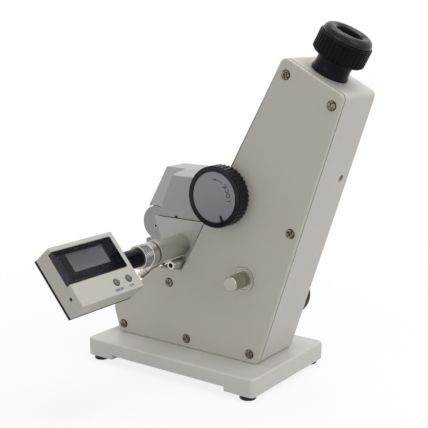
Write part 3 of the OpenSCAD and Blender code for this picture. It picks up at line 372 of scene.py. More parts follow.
# %% [markdown]
# ## Blasted and turned metal
#
# The prism holders and the thermometer's seat are aluminium, blasted to an even satin and clear
# anodised. Its sparkle is a very fine grain. Turned parts such as shafts, the knob and the nut show a
# fine grain from the lathe. Most of them lie along Y, so their recipe draws its noise out that way,
# which one Mapping node does for all of them.

# %% Mix the metals
def blasted(name, tone, rough, metallic, grain_mm=0.25):
    metal = Finish(name, IOR=1.45)
    slow, grain = metal.noise(14, detail=3), metal.noise(grain_mm, detail=1)
    metal.wear(Base_Color=metal.mix((slow * 0.7 + grain * 0.3).clamped(),
                                    tuple(c * 0.90 for c in tone), tone),
               Metallic=metallic, Roughness=rough + (grain - 0.5) * 0.16 + (slow - 0.5) * 0.08)
    return metal.relief(grain, 0.008, 0.35).material


def turned(name, tone, rough, pitch_mm=0.18):
    metal = Finish(name, Metallic=1.0)
    lathe = metal.noise(pitch_mm, metal.place(stretch=(1, 9, 1)), detail=2)
    smear = metal.noise(5, detail=4)
    metal.wear(Base_Color=metal.mix((smear * 0.8 + lathe * 0.3).clamped(),
                                    tuple(c * 0.80 for c in tone), tone),
               Roughness=rough + (smear - 0.5) * 0.14 + (lathe - 0.5) * 0.10)
    return metal.relief(lathe, 0.006, 0.4).material


# The first three are one blasted aluminium: the plain tone and two lighter copies, which paint light on
# the prism holders.
head_satin = blasted("head_satin", from_screen(163, 162, 160), 0.40, 0.35)
lightened_lower_satin = blasted("lightened_lower_satin", from_screen(188, 187, 182), 0.40, 0.30)
lightened_wing_satin = blasted("lightened_wing_satin", from_screen(186, 186, 186), 0.36, 0.30)
seat_satin = blasted("seat_satin", from_screen(188, 185, 174), 0.34, 0.65)
nut_steel = turned("nut_steel", from_screen(208, 207, 202), 0.36)
# The knurl's steel is a darker copy of the nut's, as painted shade in its grooves.
shaded_knurl_steel = turned("shaded_knurl_steel", from_screen(150, 150, 152), 0.30)
bright_nickel = turned("bright_nickel", from_screen(176, 173, 160), 0.20)
nozzle_nickel = turned("nozzle_nickel", from_screen(206, 203, 193), 0.32)
dull_steel = turned("dull_steel", from_screen(132, 132, 135), 0.34)

bronzed_screw = Finish("bronzed_screw", Metallic=0.8)
rubbed = ((bronzed_screw.noise(1.1, detail=3) - 0.42) * 4).clamped()
bronzed, bare = from_screen(58, 49, 38), from_screen(168, 158, 138)
bronzed_screw.wear(Base_Color=bronzed_screw.mix(rubbed, bronzed, bare), Roughness=0.42 - rubbed * 0.14)
bronzed_screw = bronzed_screw.material
turned_brass = turned("turned_brass", from_screen(214, 176, 100), 0.28)
print("finishes so far:", len(bpy.data.materials))


# %% [markdown]
# ## Blacks
#
# The hand wheels and the focusing ring are black plastic, which is never quite black: it is a cool
# dark grey with a soft sheen, and a fine texture from its mould. The eyecup and the feet are rubber,
# duller and warmer. The eyepiece tube is black anodised, smoother and a little bluish.

# %% Mix the blacks
def dark(name, tone, rough, grain_mm, depth_mm, shine=0.25):
    black = Finish(name, IOR=1.48, Specular_IOR_Level=shine)
    grain, slow = black.noise(grain_mm, detail=2), black.noise(9, detail=5, roughness=0.6)
    black.wear(Base_Color=black.mix(slow, tuple(c * 0.8 for c in tone), tuple(c * 1.25 for c in tone)),
               Roughness=rough + (slow - 0.5) * 0.14)
    return black.relief(grain, depth_mm, 0.6).material


wheel_black = dark("wheel_black", from_screen(11, 11, 19), 0.27, 0.5, 0.012, shine=0.28)
ring_black = dark("ring_black", from_screen(8, 8, 15), 0.36, 0.45, 0.015, shine=0.1)
tube_black = dark("tube_black", from_screen(8, 8, 15), 0.30, 0.3, 0.006, shine=0.12)
rubber_black = dark("rubber_black", from_screen(14, 14, 15), 0.27, 0.35, 0.010, shine=0.3)
# The next black, darker and matt, paints the shade inside the eyecup's hole.
shaded_hole_black = dark("shaded_hole_black", from_screen(5, 5, 7), 0.6, 0.4, 0.01, shine=0.08)
# This black is the display's back cover, and it also paints shade in the screw rings and the pin hole.
back_and_shade_black = dark("back_and_shade_black", from_screen(18, 18, 22), 0.45, 0.4, 0.02)


# %% [markdown]
# ## Glass, mirrors, plastics and ink
#
# Optical glass is a transmitting Principled shader with a faint tint. A silvered mirror is a metal
# with nearly no roughness. The display's case is moulded in a grained plastic, its window is a
# polished dark sheet that is clear over the liquid crystal, and the marks are plain ink.

# %% Mix the rest
clear_glass = Finish("clear_glass", Base_Color=from_screen(235, 243, 244), Roughness=0.02,
                     Transmission_Weight=1.0, IOR=1.52).material

silver = Finish("silvered_glass", Metallic=1.0)
cool, bright = from_screen(226, 229, 232), from_screen(238, 240, 242)
silver.wear(Base_Color=silver.mix(silver.noise(12), cool, bright),
            Roughness=0.03 + silver.noise(7, detail=5) * 0.03)
silver = silver.material


def moulded(name, tone, rough, grain_mm=0.6, depth_mm=0.03):
    plastic = Finish(name, IOR=1.47)
    grain, slow = plastic.noise(grain_mm, detail=2), plastic.noise(22, detail=4)
    plastic.wear(Base_Color=plastic.mix(slow, tuple(c * 0.95 for c in tone), tone),
                 Roughness=rough + (slow - 0.5) * 0.10 + (grain - 0.5) * 0.06)
    return plastic.relief(grain, depth_mm, 0.5).material


case_plastic = moulded("case_plastic", from_screen(198, 195, 186), 0.44)
button_plastic = moulded("button_plastic", from_screen(112, 111, 110), 0.38, 0.4, 0.01)
dial_grey = blasted("dial_grey", from_screen(146, 146, 151), 0.34, 0.25, 0.2)
blue_ink = moulded("blue_ink", from_screen(4, 82, 140), 0.5, 0.3, 0.005)
black_ink = moulded("black_ink", from_screen(26, 26, 32), 0.5, 0.3, 0.005)
segment_ink = moulded("segment_ink", from_screen(120, 121, 126), 0.3, 0.3, 0.002)

# %% [markdown]
# The window's clear field is a mask in the display's own directions: a rectangle is where two
# distances, down the face and along the stem, are both small. Outside it the sheet's back and edges
# are painted black, and its front is clear all over, so the black has depth and gloss. The liquid
# crystal behind it has a black border with the same field.

# %% Mix the window and the crystal
FIELD_AT, FIELD_SIZE, SHEET_FRONT = (-8.9, -26.2), (13.6, 33.4), 6.7
CLEARNESS = 0.72


def in_display(finish):
    """Where the clear field is, and the distance out of the display's face."""
    tilted = (0, math.radians(FACE_TILT), 0)
    apart = finish.add("ShaderNodeSeparateXYZ", None, {
        0: finish.place(turn=tilted, shift=tuple(DISPLAY_PLACE.translation))})
    down_face, along_stem, out_of_face = finish.outputs(apart, "X", "Y", "Z")
    field = (((down_face - FIELD_AT[0] * MM).size() < FIELD_SIZE[0] / 2 * MM)
             * ((along_stem - FIELD_AT[1] * MM).size() < FIELD_SIZE[1] / 2 * MM))
    return field, out_of_face


window_sheet = Finish("window_sheet", IOR=1.49, Specular_IOR_Level=0.3, Coat_Weight=0.15,
                      Coat_Roughness=0.06)
field, out_of_face = in_display(window_sheet)
clear = (field + (out_of_face > (SHEET_FRONT - 0.02) * MM)).clamped()
film = window_sheet.noise(1.3, detail=4, roughness=0.7)
haze = (window_sheet.noise(16, detail=2) * 1.6 - 0.5).clamped()
window_sheet.wear(Base_Color=window_sheet.mix(haze, from_screen(14, 14, 26), from_screen(36, 36, 54)),
                  Roughness=0.10 + (film - 0.45).clamped() * 0.5, Alpha=1 - clear * CLEARNESS)
window_sheet = window_sheet.relief(film, 0.02, 0.25).material

crystal_grey = Finish("crystal_grey", IOR=1.47)
field = in_display(crystal_grey)[0]
slow = crystal_grey.noise(22, detail=4)
unlit = crystal_grey.mix(slow, from_screen(144, 144, 149), from_screen(154, 154, 159))
crystal_grey.wear(Base_Color=crystal_grey.mix(field, from_screen(16, 16, 26), unlit),
                  Roughness=0.30 + (slow - 0.5) * 0.10)
crystal_grey = crystal_grey.material
print("finishes in all:", len(bpy.data.materials))

# %% [markdown]
# ## The base plate and its feet
#
# The base is one cast plate with soft upper edges, a sharp-cornered relief milled across its
# underside, and four rubber feet. The upper rim gets a wide bevel and every other edge a narrow one,
# because the enamel rounds what the milling leaves sharp.

# %% Soften the base
BASE_TOP = 15.9
ease("base_plate", "base_plate_cast", "base", "base_enamel", base_enamel, 1.3, segments=4,
     where=lambda p: p.z > BASE_TOP - 0.1, rest=0.4)
ease("rubber_feet", "rubber_feet_moulded", "base", "soft_black", rubber_black, 0.7, rest=0.3)

# %% [markdown]
# ## The housing and its cover
#
# The housing is a tall thin casting, open on one side and closed by a screwed cover. What makes the
# pair look real is the fine dark line between them, where the cover rests on a gasket. The casting's
# rim is therefore moved back by nearly a millimetre, and the outer rims of the cover and of the far
# wall are rounder than the two edges along the line.

# %% Soften the housing and the cover
COVER_Y, SHELL_Y, FAR_Y = -22.0, -19.0, 22.0
GASKET_T, GASKET_IN, RIM, RIM_EDGE = 0.9, 0.7, 1.1, 0.15


def outer_rim(y):
    return lambda p: abs(p.y - y) < 0.05


shell = merged_copy("housing_shell", "housing_casting")
select_where(shell, lambda p: p.y < SHELL_Y + 0.01)
bpy.ops.transform.translate(value=(0, GASKET_T * MM, 0))
bpy.ops.object.mode_set(mode="OBJECT")
soften(shell, RIM, segments=4, where=outer_rim(FAR_Y), rest=RIM_EDGE / RIM)
smooth(shell)
hand_over(shell, "base", "body_enamel", shell_enamel, "housing_shell")
ease("side_cover", "side_cover_plate", "base", "cover_enamel", cover_enamel, RIM, segments=5,
     where=outer_rim(COVER_Y), rest=RIM_EDGE / RIM)

# %% [markdown]
# The gasket fills the gap, with its edge a little way in. Its shape is the cover's own back, drawn in
# all round, so the back's faces are kept, inset, and given a thickness.

# %% Cut the gasket
gasket = merged_copy("side_cover", "cover_gasket")
select_where(gasket, lambda p: p.y < SHELL_Y - 0.01)
bpy.ops.mesh.delete(type="FACE")
bpy.ops.mesh.select_all(action="SELECT")
bpy.ops.mesh.inset(thickness=GASKET_IN * MM, depth=0, use_boundary=True, use_individual=False)
bpy.ops.mesh.select_all(action="INVERT")
bpy.ops.mesh.delete(type="FACE")
bpy.ops.object.mode_set(mode="OBJECT")
thicken = gasket.modifiers.new("thickness", "SOLIDIFY")
thicken.thickness, thicken.offset = GASKET_T * MM, 0
apply_all(gasket)
gasket.data.transform(move(0, GASKET_T / 2, 0))
hand_over(gasket, "base", "soft_black", rubber_black)

# %% [markdown]
# The cover's screws sit in shallow counterbores, whose narrow shadow outlines each head. Seven thin
# dark rings stand for that shadow. Each starts as a circle, which is extruded, widened and given a
# thickness. A circle has no face to select, so its edges are, before they are extruded.

# %% Ring the screws
SCREWS = [(77.5, 207.5), (109.6, 190.1), (82.7, 108.5), (52.8, 22.4), (0, 22.4), (-57.7, 22.4),
          (-14.9, 60.9)]
RING_IN, RING_OUT, RING_T = 2.9, 3.25, 0.06
WIDEN = RING_OUT / RING_IN
rings = []
for x, z in SCREWS:
    bpy.ops.mesh.primitive_circle_add(vertices=48, radius=RING_IN * MM, fill_type="NOTHING")
    one = bpy.context.object
    in_edit(one,
            lambda: bpy.ops.mesh.select_mode(type="EDGE"),
            lambda: bpy.ops.mesh.select_all(action="SELECT"),
            lambda: bpy.ops.mesh.extrude_region_move(),
            lambda: bpy.ops.transform.resize(value=(WIDEN, WIDEN, 1), center_override=(0, 0, 0)))
    wall = one.modifiers.new("thickness", "SOLIDIFY")
    wall.thickness, wall.offset = RING_T * MM, 0
    apply_all(one)
    one.data.transform(move(x, COVER_Y, z) @ FACING_US)
    in_edit(one, lambda: bpy.ops.mesh.normals_make_consistent(inside=False))
    rings.append(one)
# The joined rings are painted shadow round the screw heads.
hand_over(join(rings, "screw_shadow_rings"), "base", "soft_black", back_and_shade_black)


# %% [markdown]
# ## Pieces that need only their edges eased
#
# Many machined pieces already have their shape. What gives them away as models is an edge with no
# width, which no tool leaves and which never catches the light. So each is copied, its edges get a
# bevel of a quarter of a millimetre or so, and it takes its metal, plastic or glass.

# %% Ease the edges of the machined pieces
EASED = [
    ("foot_screws", "base", "steel", dull_steel, 0.15),
    ("housing_bolts", "base", "steel", dull_steel, 0.2),
    ("cover_screws", "base", "dark_screw", bronzed_screw, 0.22),
    ("reticle", "base", "optical_glass", clear_glass, 0.08),
    ("compensator_frame", "base", "black_metal", tube_black, 0.15),
    ("objective_cell", "base", "black_metal", tube_black, 0.2),
    ("objective_lens", "base", "optical_glass", clear_glass, 0.1),
    ("shaft_bushes", "base", "brass", turned_brass, 0.15),
    ("knob_flange", "base", "head_metal", seat_satin, 0.3),
    ("refracting_prism", "base", "optical_glass", clear_glass, 0.15),
    ("lower_nozzles", "base", "plated", nozzle_nickel, 0.12),
    ("condenser_barrel", "base", "black_metal", tube_black, 0.4),
    ("condenser_lens", "base", "optical_glass", clear_glass, 0.1),
    ("light_entry_prism", "upper_head", "optical_glass", clear_glass, 0.15),
    ("upper_nozzles", "upper_head", "plated", nozzle_nickel, 0.12),
    ("shade_pin", "upper_head", "steel", dull_steel, 0.15),
    ("shade_plate", "shade", "head_metal", head_satin, 0.3),
    ("mirror_frame", "reflector", "head_metal", head_satin, 0.35),
    ("mirror_glass", "reflector", "silvered", silver, 0.12),
    ("lock_shaft", "lock", "steel", dull_steel, 0.15),
    ("lock_cam", "lock", "brass", turned_brass, 0.2),
    ("scale_shaft", "knob", "steel", dull_steel, 0.08),
    ("mirror_arm", "scale", "black_metal", tube_black, 0.15),
    ("swing_mirror", "scale", "silvered", silver, 0.1),
    ("scale_sector", "scale", "brass", turned_brass, 0.08),
    ("scale_disc", "scale", "optical_glass", clear_glass, 0.15),
    ("dispersion_shaft", "dispersion", "steel", dull_steel, 0.08),
    ("dispersion_wheel", "dispersion", "black_plastic", wheel_black, 0.18),
    ("dispersion_ring", "dispersion", "dial_grey", dial_grey, 0.25),
    ("amici_cell_a", "cell_a", "brass", turned_brass, 0.08),
    ("amici_prism_a", "cell_a", "optical_glass", clear_glass, 0.15),
    ("amici_cell_b", "cell_b", "brass", turned_brass, 0.08),
    ("amici_prism_b", "cell_b", "optical_glass", clear_glass, 0.15),
    ("lens_cell", "eye_lens", "black_metal", tube_black, 0.2),
    ("eyepiece_lenses", "eye_lens", "optical_glass", clear_glass, 0.1),
    ("eyepiece_tube", "base", "black_metal", tube_black, 0.25),
    ("adjusting_screw", "adjuster", "steel", dull_steel, 0.12),
    ("stem_collar", "thermometer", "black_plastic", tube_black, 0.4),
    ("stem_probe", "thermometer", "steel", dull_steel, 0.15),
    ("display_back", "thermometer", "black_plastic", back_and_shade_black, 0.35),
    ("thermometer_seat", "base", "head_metal", seat_satin, 0.35),
]
for node, body, slot, finish, width in EASED:
    ease(node, node + "_finished", body, slot, finish, width, segments=2)

# %% [markdown]
# ## The prism holders
#
# The two holders are the blocks that the sample lies between. Their long edges are machined, so the
# chamfers are small and even, and the light runs along them as thin lines. The edges of small holes
# are left sharp, as a drill leaves them. Each holder has two finishes, lighter and darker copies of one
# blasted metal, and its faces take theirs by place, which paints light and shade on them: the lower
# holder is painted lighter, its set-back wing darker, and the upper holder lighter on all but its
# near faces.

# %% Ease the prism holders
PIN_HOLES = [(-45.3, 110.9), (-41.5, 94.8), (-48.9, 73.7), (-18, 113.9), (-18, 129.9), (-7.9, 88.3),
             (-7, 75.9)]
HOLE_REACH, WING_Y = 5.2, -3.4


def away_from_holes(middle):
    return all(math.hypot(middle.x - x, middle.z - z) > HOLE_REACH for x, z in PIN_HOLES)


def at_the_wing(face):
    return face.center.y > (WING_Y - 0.3) * MM


# The lower holder is painted lighter than the upper one; its set-back wing faces keep the plain, darker
# tone as painted shade.
lower = ease("lower_holder", "lower_holder_blasted", "base", "head_metal", lightened_lower_satin, 0.4,
             where=away_from_holes)
second_finish(lower, head_satin, at_the_wing)
upper = ease("upper_holder", "upper_holder_blasted", "upper_head", "head_metal", head_satin, 0.4,
             where=away_from_holes)
# On the upper holder all faces but the near block's front take a lighter copy: painted light.
second_finish(upper, lightened_wing_satin, lambda face: at_the_wing(face) or face.normal.y > -0.8)


# %% [markdown]
# The hinge pins are flush with the lobe and have a small hole drilled in their ends, to pull them out
# by. The end faces are inset, and the smaller faces are extruded and pushed in. The inside of the hole
# of the pin that shows is painted black, as painted shade.

# %% Drill the hinge pins
PIN, PIN_R, PIN_HOLE_IN, PIN_HOLE_DEEP = PIN_HOLES[1], 1.6, 0.75, 1.2


def in_pin_hole(face):
    middle = face.center / MM
    off_axis = math.hypot(middle.x - PIN[0], middle.z - PIN[1])
    return off_axis < PIN_R - PIN_HOLE_IN + 0.02 and middle.y < WING_Y + PIN_HOLE_DEEP + 0.4


pins = merged_copy("hinge_pins", "hinge_pins_drilled")
select_where(pins, lambda p: p.y < WING_Y + 0.2)
bpy.ops.mesh.inset(thickness=PIN_HOLE_IN * MM, depth=0)
bpy.ops.mesh.extrude_region_move()
bpy.ops.transform.translate(value=(0, PIN_HOLE_DEEP * MM, 0))
bpy.ops.object.mode_set(mode="OBJECT")
soften(pins, 0.06, segments=2)
smooth(pins)
hand_over(pins, "base", "steel", lightened_lower_satin, "hinge_pins")
# The hole's inner faces take the black: painted shade in the hole.
second_finish(pins, back_and_shade_black, in_pin_hole)

# %% [markdown]
# ## The lock wheel
#
# The wheel's rim carries grooves for the fingers, milled in groups, and its front is sunk for a grey
# disc. The solid model has all of that, so the work here is on the edges: the mouth of the rim is
# clearly rounded by its mould, and the ridges only a little, so that they still catch a fingertip.

# %% Soften the lock wheel
DISC_FRONT, WHEEL_FRONT = -33.1, -33.7
ease("lock_wheel", "lock_wheel_ribbed", "lock", "black_plastic", wheel_black, 0.35,
     where=lambda p: p.y < WHEEL_FRONT + 0.7, rest=0.3)
ease("lock_disc", "lock_disc_printed", "lock", "dial_grey", dial_grey, 0.2)


# %% [markdown]
# ## Marks on the lock wheel
#
# The word LOCK and an arrow follow the disc's edge and say which way to turn. Each letter is a text
# object, made a mesh with a little thickness. The arrow is a strip, cut into short lengths, whose
# end is extruded wide and then drawn to a point. Both are drawn flat and then laid round the centre.

# %% Helpers for printed marks
INK, INK_OUT = 0.06, 0.01
CAPITALS = 1.4


def ink_letters(text, height_mm, name, swell=0.02):
    """Letters with the ink's thickness. A font's size is 1.4 times the height of its capitals."""
    bpy.ops.object.text_add()
    mark = bpy.context.object
    mark.name = name
    mark.data.body = text
    mark.data.size = height_mm * MM * CAPITALS
    mark.data.align_x, mark.data.align_y = "CENTER", "CENTER"
    mark.data.extrude = INK * MM / 2
    mark.data.offset = swell * height_mm * MM
    only(mark)
    bpy.ops.object.convert(target="MESH")
    return settle(bpy.context.object)


def on_disc(out):
    """The place of a flat shape that stands that far out of the lock wheel's disc."""
    return Matrix.Translation(LOCK) @ move(0, DISC_FRONT - out, 0) @ FACING_US


# %% Print the word and the arrow
ARC_R, LETTER_H, LETTER_ANGLES = 11.7, 2.9, (-5, 10.5, 26, 42)
ARROW_FROM, ARROW_TO, ARROW_TIP, ARROW_W, ARROW_HEAD = 53, 82, 97, 0.4, 3.6
letters = []
for letter, angle in zip("LOCK", LETTER_ANGLES):
    mark = ink_letters(letter, LETTER_H, "letter_" + letter.lower())
    mark.data.transform(on_disc(INK_OUT) @ turn(angle) @ move(ARC_R, 0, 0) @ turn(90))
    letters.append(mark)
shaft_l = math.radians(ARROW_TO - ARROW_FROM) * ARC_R
tip_l = math.radians(ARROW_TIP - ARROW_TO) * ARC_R
bpy.ops.mesh.primitive_grid_add(x_subdivisions=12, y_subdivisions=1, size=MM)
arrow = bpy.context.object
arrow.scale = (shaft_l, ARROW_W, 1)
settle(arrow)
select_where(arrow, lambda p: p.x > shaft_l / 2 - 0.01, "EDGE")
bpy.ops.mesh.extrude_region_move(TRANSFORM_OT_translate={"value": (0, 0, 0)})
bpy.ops.transform.resize(value=(1, ARROW_HEAD, 1), center_override=(shaft_l / 2 * MM, 0, 0))
bpy.ops.mesh.extrude_region_move(TRANSFORM_OT_translate={"value": (tip_l * MM, 0, 0)})
bpy.ops.transform.resize(value=(1, 0, 1), center_override=(0, 0, 0))
bpy.ops.mesh.select_all(action="SELECT")
bpy.ops.mesh.remove_doubles(threshold=0.001 * MM)
bpy.ops.object.mode_set(mode="OBJECT")
ink = arrow.modifiers.new("ink", "SOLIDIFY")
ink.thickness, ink.offset = INK * MM, 0
apply_all(arrow)
start = math.radians(ARROW_FROM) + shaft_l / 2 / ARC_R
for corner in arrow.data.vertices:
    bearing, out = start + corner.co.x / MM / ARC_R, ARC_R * MM - corner.co.y
    corner.co.x, corner.co.y = out * math.cos(bearing), out * math.sin(bearing)
arrow.data.transform(on_disc(INK_OUT))
in_edit(arrow, lambda: bpy.ops.mesh.normals_make_consistent(inside=False))
hand_over(join(letters + [arrow], "lock_wheel_marks"), "lock", "dial_grey", black_ink)

# %% [markdown]
# The pointer is a small black tongue, narrower towards the centre, that bridges the rim and the disc.

# %% Build the pointer
POINTER_SIZE, POINTER_TAPER = (4.2, 2.1, 0.7), 0.6
POINTER_ANGLE, POINTER_MID, POINTER_OUT = -66, 14.9, 0.25
bpy.ops.mesh.primitive_cube_add(size=MM)
pointer = bpy.context.object
pointer.name = "lock_wheel_pointer"
pointer.scale = POINTER_SIZE
settle(pointer)
select_where(pointer, lambda p: p.x < -POINTER_SIZE[0] / 2 + 0.01)
bpy.ops.transform.resize(value=(1, POINTER_TAPER, POINTER_TAPER), center_override=(0, 0, 0))
bpy.ops.object.mode_set(mode="OBJECT")
soften(pointer, 0.15, segments=2)
smooth(pointer)
pointer.data.transform(on_disc(POINTER_OUT) @ turn(POINTER_ANGLE) @ move(POINTER_MID, 0, 0))
hand_over(pointer, "lock", "black_plastic", wheel_black)

# %% [markdown]
# ## The scale knob
#
# A plain plated knob, turned in one cut, with a crisp but eased front edge.

# %% Ease the knob
ease("scale_knob", "scale_knob_turned", "knob", "plated", bright_nickel, 0.35)

# %% [markdown]
# ## The eyepiece
#
# The focusing ring has a band of fine ribs and the soft rubber eyecup sits on top, dished towards
# the eye hole. The cup is spun from its own section, so it is one smooth surface of rubber. Inside
# the eye hole it is matt and painted darker, as painted shade in the hole.

# %% Build the focusing ring and the eyecup
ease("focus_ring", "focusing_ring_ribbed", "focus", "black_plastic", ring_black, 0.3, segments=2,
     degrees=40)


def spun(name, profile, steps=72):
    """A closed body of revolution about Z, from the corners (radius, height) of its half section."""
    bpy.ops.mesh.primitive_circle_add(vertices=len(profile), fill_type="NOTHING")
    body = bpy.context.object
    body.name = name
    for corner, (r, z) in zip(body.data.vertices, profile):
        corner.co = (r * MM, 0, z * MM)
    in_edit(body,
            lambda: bpy.ops.mesh.spin(steps=steps, angle=2 * math.pi, center=(0, 0, 0),
                                      axis=(0, 0, 1), use_auto_merge=True),
            lambda: bpy.ops.mesh.select_all(action="SELECT"),
            lambda: bpy.ops.mesh.remove_doubles(threshold=0.005 * MM),
            lambda: bpy.ops.mesh.normals_make_consistent(inside=False))
    return body


CUP_LOW, CUP_TOP, CUP_R, ROLL_R, EYE_HOLE_R = 24.2, 28.98, 16.15, 4.2, 8.5
ROLL = [(CUP_R - ROLL_R + ROLL_R * math.sin(t), CUP_TOP - ROLL_R + ROLL_R * math.cos(t))
        for t in (math.radians(90 - 9 * i) for i in range(11))]
FUNNEL = [(11.2, 28.9), (10.3, 28.62), (9.5, 28.2), (8.8, 27.7), (8.2, 27.1), (7.7, 26.3), (7.3, 25.3),
          (7.0, 24.6), (6.4, 24.36), (5.4, 24.3)]
CUP = [(5.4, CUP_LOW), (15.7, CUP_LOW), (16.1, 24.4)] + ROLL + FUNNEL
cup = spun("eyecup_rubber", CUP)
smooth(cup, 50)
cup.data.transform(EYE_PLACE)
hand_over(cup, "focus", "soft_black", rubber_black, "eyecup")
to_eye_place = EYE_PLACE.inverted()
# Inside the eye hole the rubber takes the darker black: painted shade.
second_finish(cup, shaded_hole_black, lambda face: (to_eye_place @ face.center).xy.length < EYE_HOLE_R * MM)

# %% [markdown]
# ## The knurled nut
#
# The nut that clamps the stem is knurled in diamonds. A knurling tool rolls two sets of slanting
# grooves across each other, and that is how it is made here: two cylinders with sharp ridges are
# twisted opposite ways, and only what lies inside both is kept. The nut's turned body is spun from
# its own section, with a thinner core under the knurl, and stays smooth at both ends.

# %% Cut the knurl
NUT_FAR, NUT_NEAR, NUT_R, KNURL_RIDGES, KNURL_DEEP = -64.2, -49.6, 8.0, 44, 0.42
KNURL_FAR, KNURL_NEAR, KNURL_SLANT = -63.6, -56.5, 24


def ridged(name, slant):
    """A cylinder with sharp ridges along it, twisted by the slant over its length."""
    length = KNURL_NEAR - KNURL_FAR
    bpy.ops.mesh.primitive_cylinder_add(vertices=2 * KNURL_RIDGES, radius=NUT_R * MM, depth=length * MM)
    bar = bpy.context.object
    bar.name = name
    for i, corner in enumerate(bar.data.vertices):
        if (i // 2) % 2:
            corner.co.xy *= (NUT_R - KNURL_DEEP) / NUT_R
    select_where(bar, lambda p: abs(p.z) < 0.1, "EDGE")
    bpy.ops.mesh.subdivide(number_cuts=6)
    bpy.ops.object.mode_set(mode="OBJECT")
    twist = bar.modifiers.new("twist", "SIMPLE_DEFORM")
    twist.deform_method, twist.deform_axis, twist.angle = "TWIST", "Z", math.radians(slant)
    apply_all(bar)
    return bar


def cut_by(piece, tool, operation):
    step = piece.modifiers.new("cut", "BOOLEAN")
    step.object, step.operation, step.solver = tool, operation, "EXACT"
    apply_all(piece)
    bpy.data.objects.remove(tool, do_unlink=True)
    return piece


knurl = cut_by(ridged("knurl", KNURL_SLANT), ridged("other_way", -KNURL_SLANT), "INTERSECT")
knurl.data.transform(move(0, 0, (KNURL_NEAR - KNURL_FAR) / 2))
print("knurl:", len(knurl.data.polygons), "faces")

# %% Join the knurl to the nut's turned body
SPIGOT_R, CORE_UNDER = 5.1, 0.15
nut_l = NUT_NEAR - NUT_FAR
core_r = NUT_R - KNURL_DEEP - CORE_UNDER
NUT_SECTION = [(SPIGOT_R + 0.4, 0.0), (NUT_R - 0.45, 0.0), (NUT_R - 0.1, 0.3), (NUT_R - 0.1, 0.5),
               (core_r, 0.65), (core_r, 8.3), (NUT_R - 0.2, 8.45), (NUT_R, 8.7), (NUT_R, 14.1),
               (NUT_R - 0.5, nut_l), (SPIGOT_R + 0.4, nut_l), (SPIGOT_R, nut_l - 0.4), (SPIGOT_R, 0.4)]
body = spun("nut_body", NUT_SECTION, steps=64)
knurl.data.transform(move(0, 0, KNURL_FAR - NUT_FAR))
bpy.ops.mesh.primitive_cylinder_add(vertices=64, radius=(core_r - 0.1) * MM, depth=3 * nut_l * MM)
cut_by(knurl, bpy.context.object, "DIFFERENCE")
smooth(body)
nut = join([body, knurl], "union_nut_knurled")
nut.data.transform(Matrix.Translation(STEM) @ move(0, NUT_FAR, 0) @ turn(-90, "X"))
hand_over(nut, "nut", "steel", nut_steel, "union_nut")
# The knurled band takes the darker steel: painted shade in its diamond grooves.
second_finish(nut, shaded_knurl_steel,
              lambda face: KNURL_FAR - 0.1 < face.center.y / MM < KNURL_NEAR + 0.1)

# %% [markdown]
# ## The display
#
# The case is a moulded box with softly rounded edges and a dark window let into its face. The body
# gets wide bevels, the window narrow ones.

# %% Soften the display
ease("display_body", "display_case", "thermometer", "display_plastic", case_plastic, 0.7)
ease("display_window", "display_window_sheet", "thermometer", "window_black", window_sheet, 0.35)
ease("lcd_panel", "display_crystal", "thermometer", "lcd_grey", crystal_grey, 0.2)

# %% [markdown]
# ## The liquid crystal's figures
#
# A switched-off liquid crystal still shows its figures faintly when light falls across it. Each
# figure is seven short bars, each a strip whose two ends are extruded and drawn to a point.

# %% Lay out the figures
CRYSTAL_TOP, BAR_L, BAR_W = 2.6, 3.4, 0.75
STRIP_L, TIP_W = BAR_L - 1.1 * BAR_W, 0.05
BARS = [(0, 1, 0), (-0.5, 0.5, 90), (0.5, 0.5, 90), (0, 0, 0), (-0.5, -0.5, 90), (0.5, -0.5, 90),
        (0, -1, 0)]
FIGURES_AT, UNIT_AT = (-9.5, -3.6, 2.3), (8.6, 0.6)


def bar(x, y, degrees):
    bpy.ops.mesh.primitive_plane_add(size=MM)
    one = bpy.context.object
    one.scale = (STRIP_L, BAR_W, 1)
    settle(one)
    for side in (-1, 1):
        select_where(one, lambda p: p.x * side > STRIP_L / 2 - 0.01, "EDGE")
        bpy.ops.mesh.extrude_region_move(TRANSFORM_OT_translate={"value": (side * BAR_W / 2 * MM, 0, 0)})
        bpy.ops.transform.resize(value=(1, TIP_W, 1), center_override=(0, 0, 0))
    bpy.ops.object.mode_set(mode="OBJECT")
    one.data.transform(move(x, y, 0) @ turn(degrees))
    return one


bars = [bar(middle + x * BAR_L, y * BAR_L, degrees) for middle in FIGURES_AT for x, y, degrees in BARS]
unit = ink_letters("°C", 3.4, "crystal_unit")
unit.data.transform(move(*UNIT_AT, 0))
figures = join(bars + [unit], "crystal_figures")
figures.data.transform(DISPLAY_PLACE @ move(*FIELD_AT, CRYSTAL_TOP + 0.02) @ turn(90))
hand_over(figures, "thermometer", "lcd_grey", segment_ink)

# %% [markdown]
# ## Buttons and their marks
#
# Each button is a low dome that stands less than a millimetre out of the face. Its mark is printed
# below it in blue: one switches the display on and off, the other changes the unit.

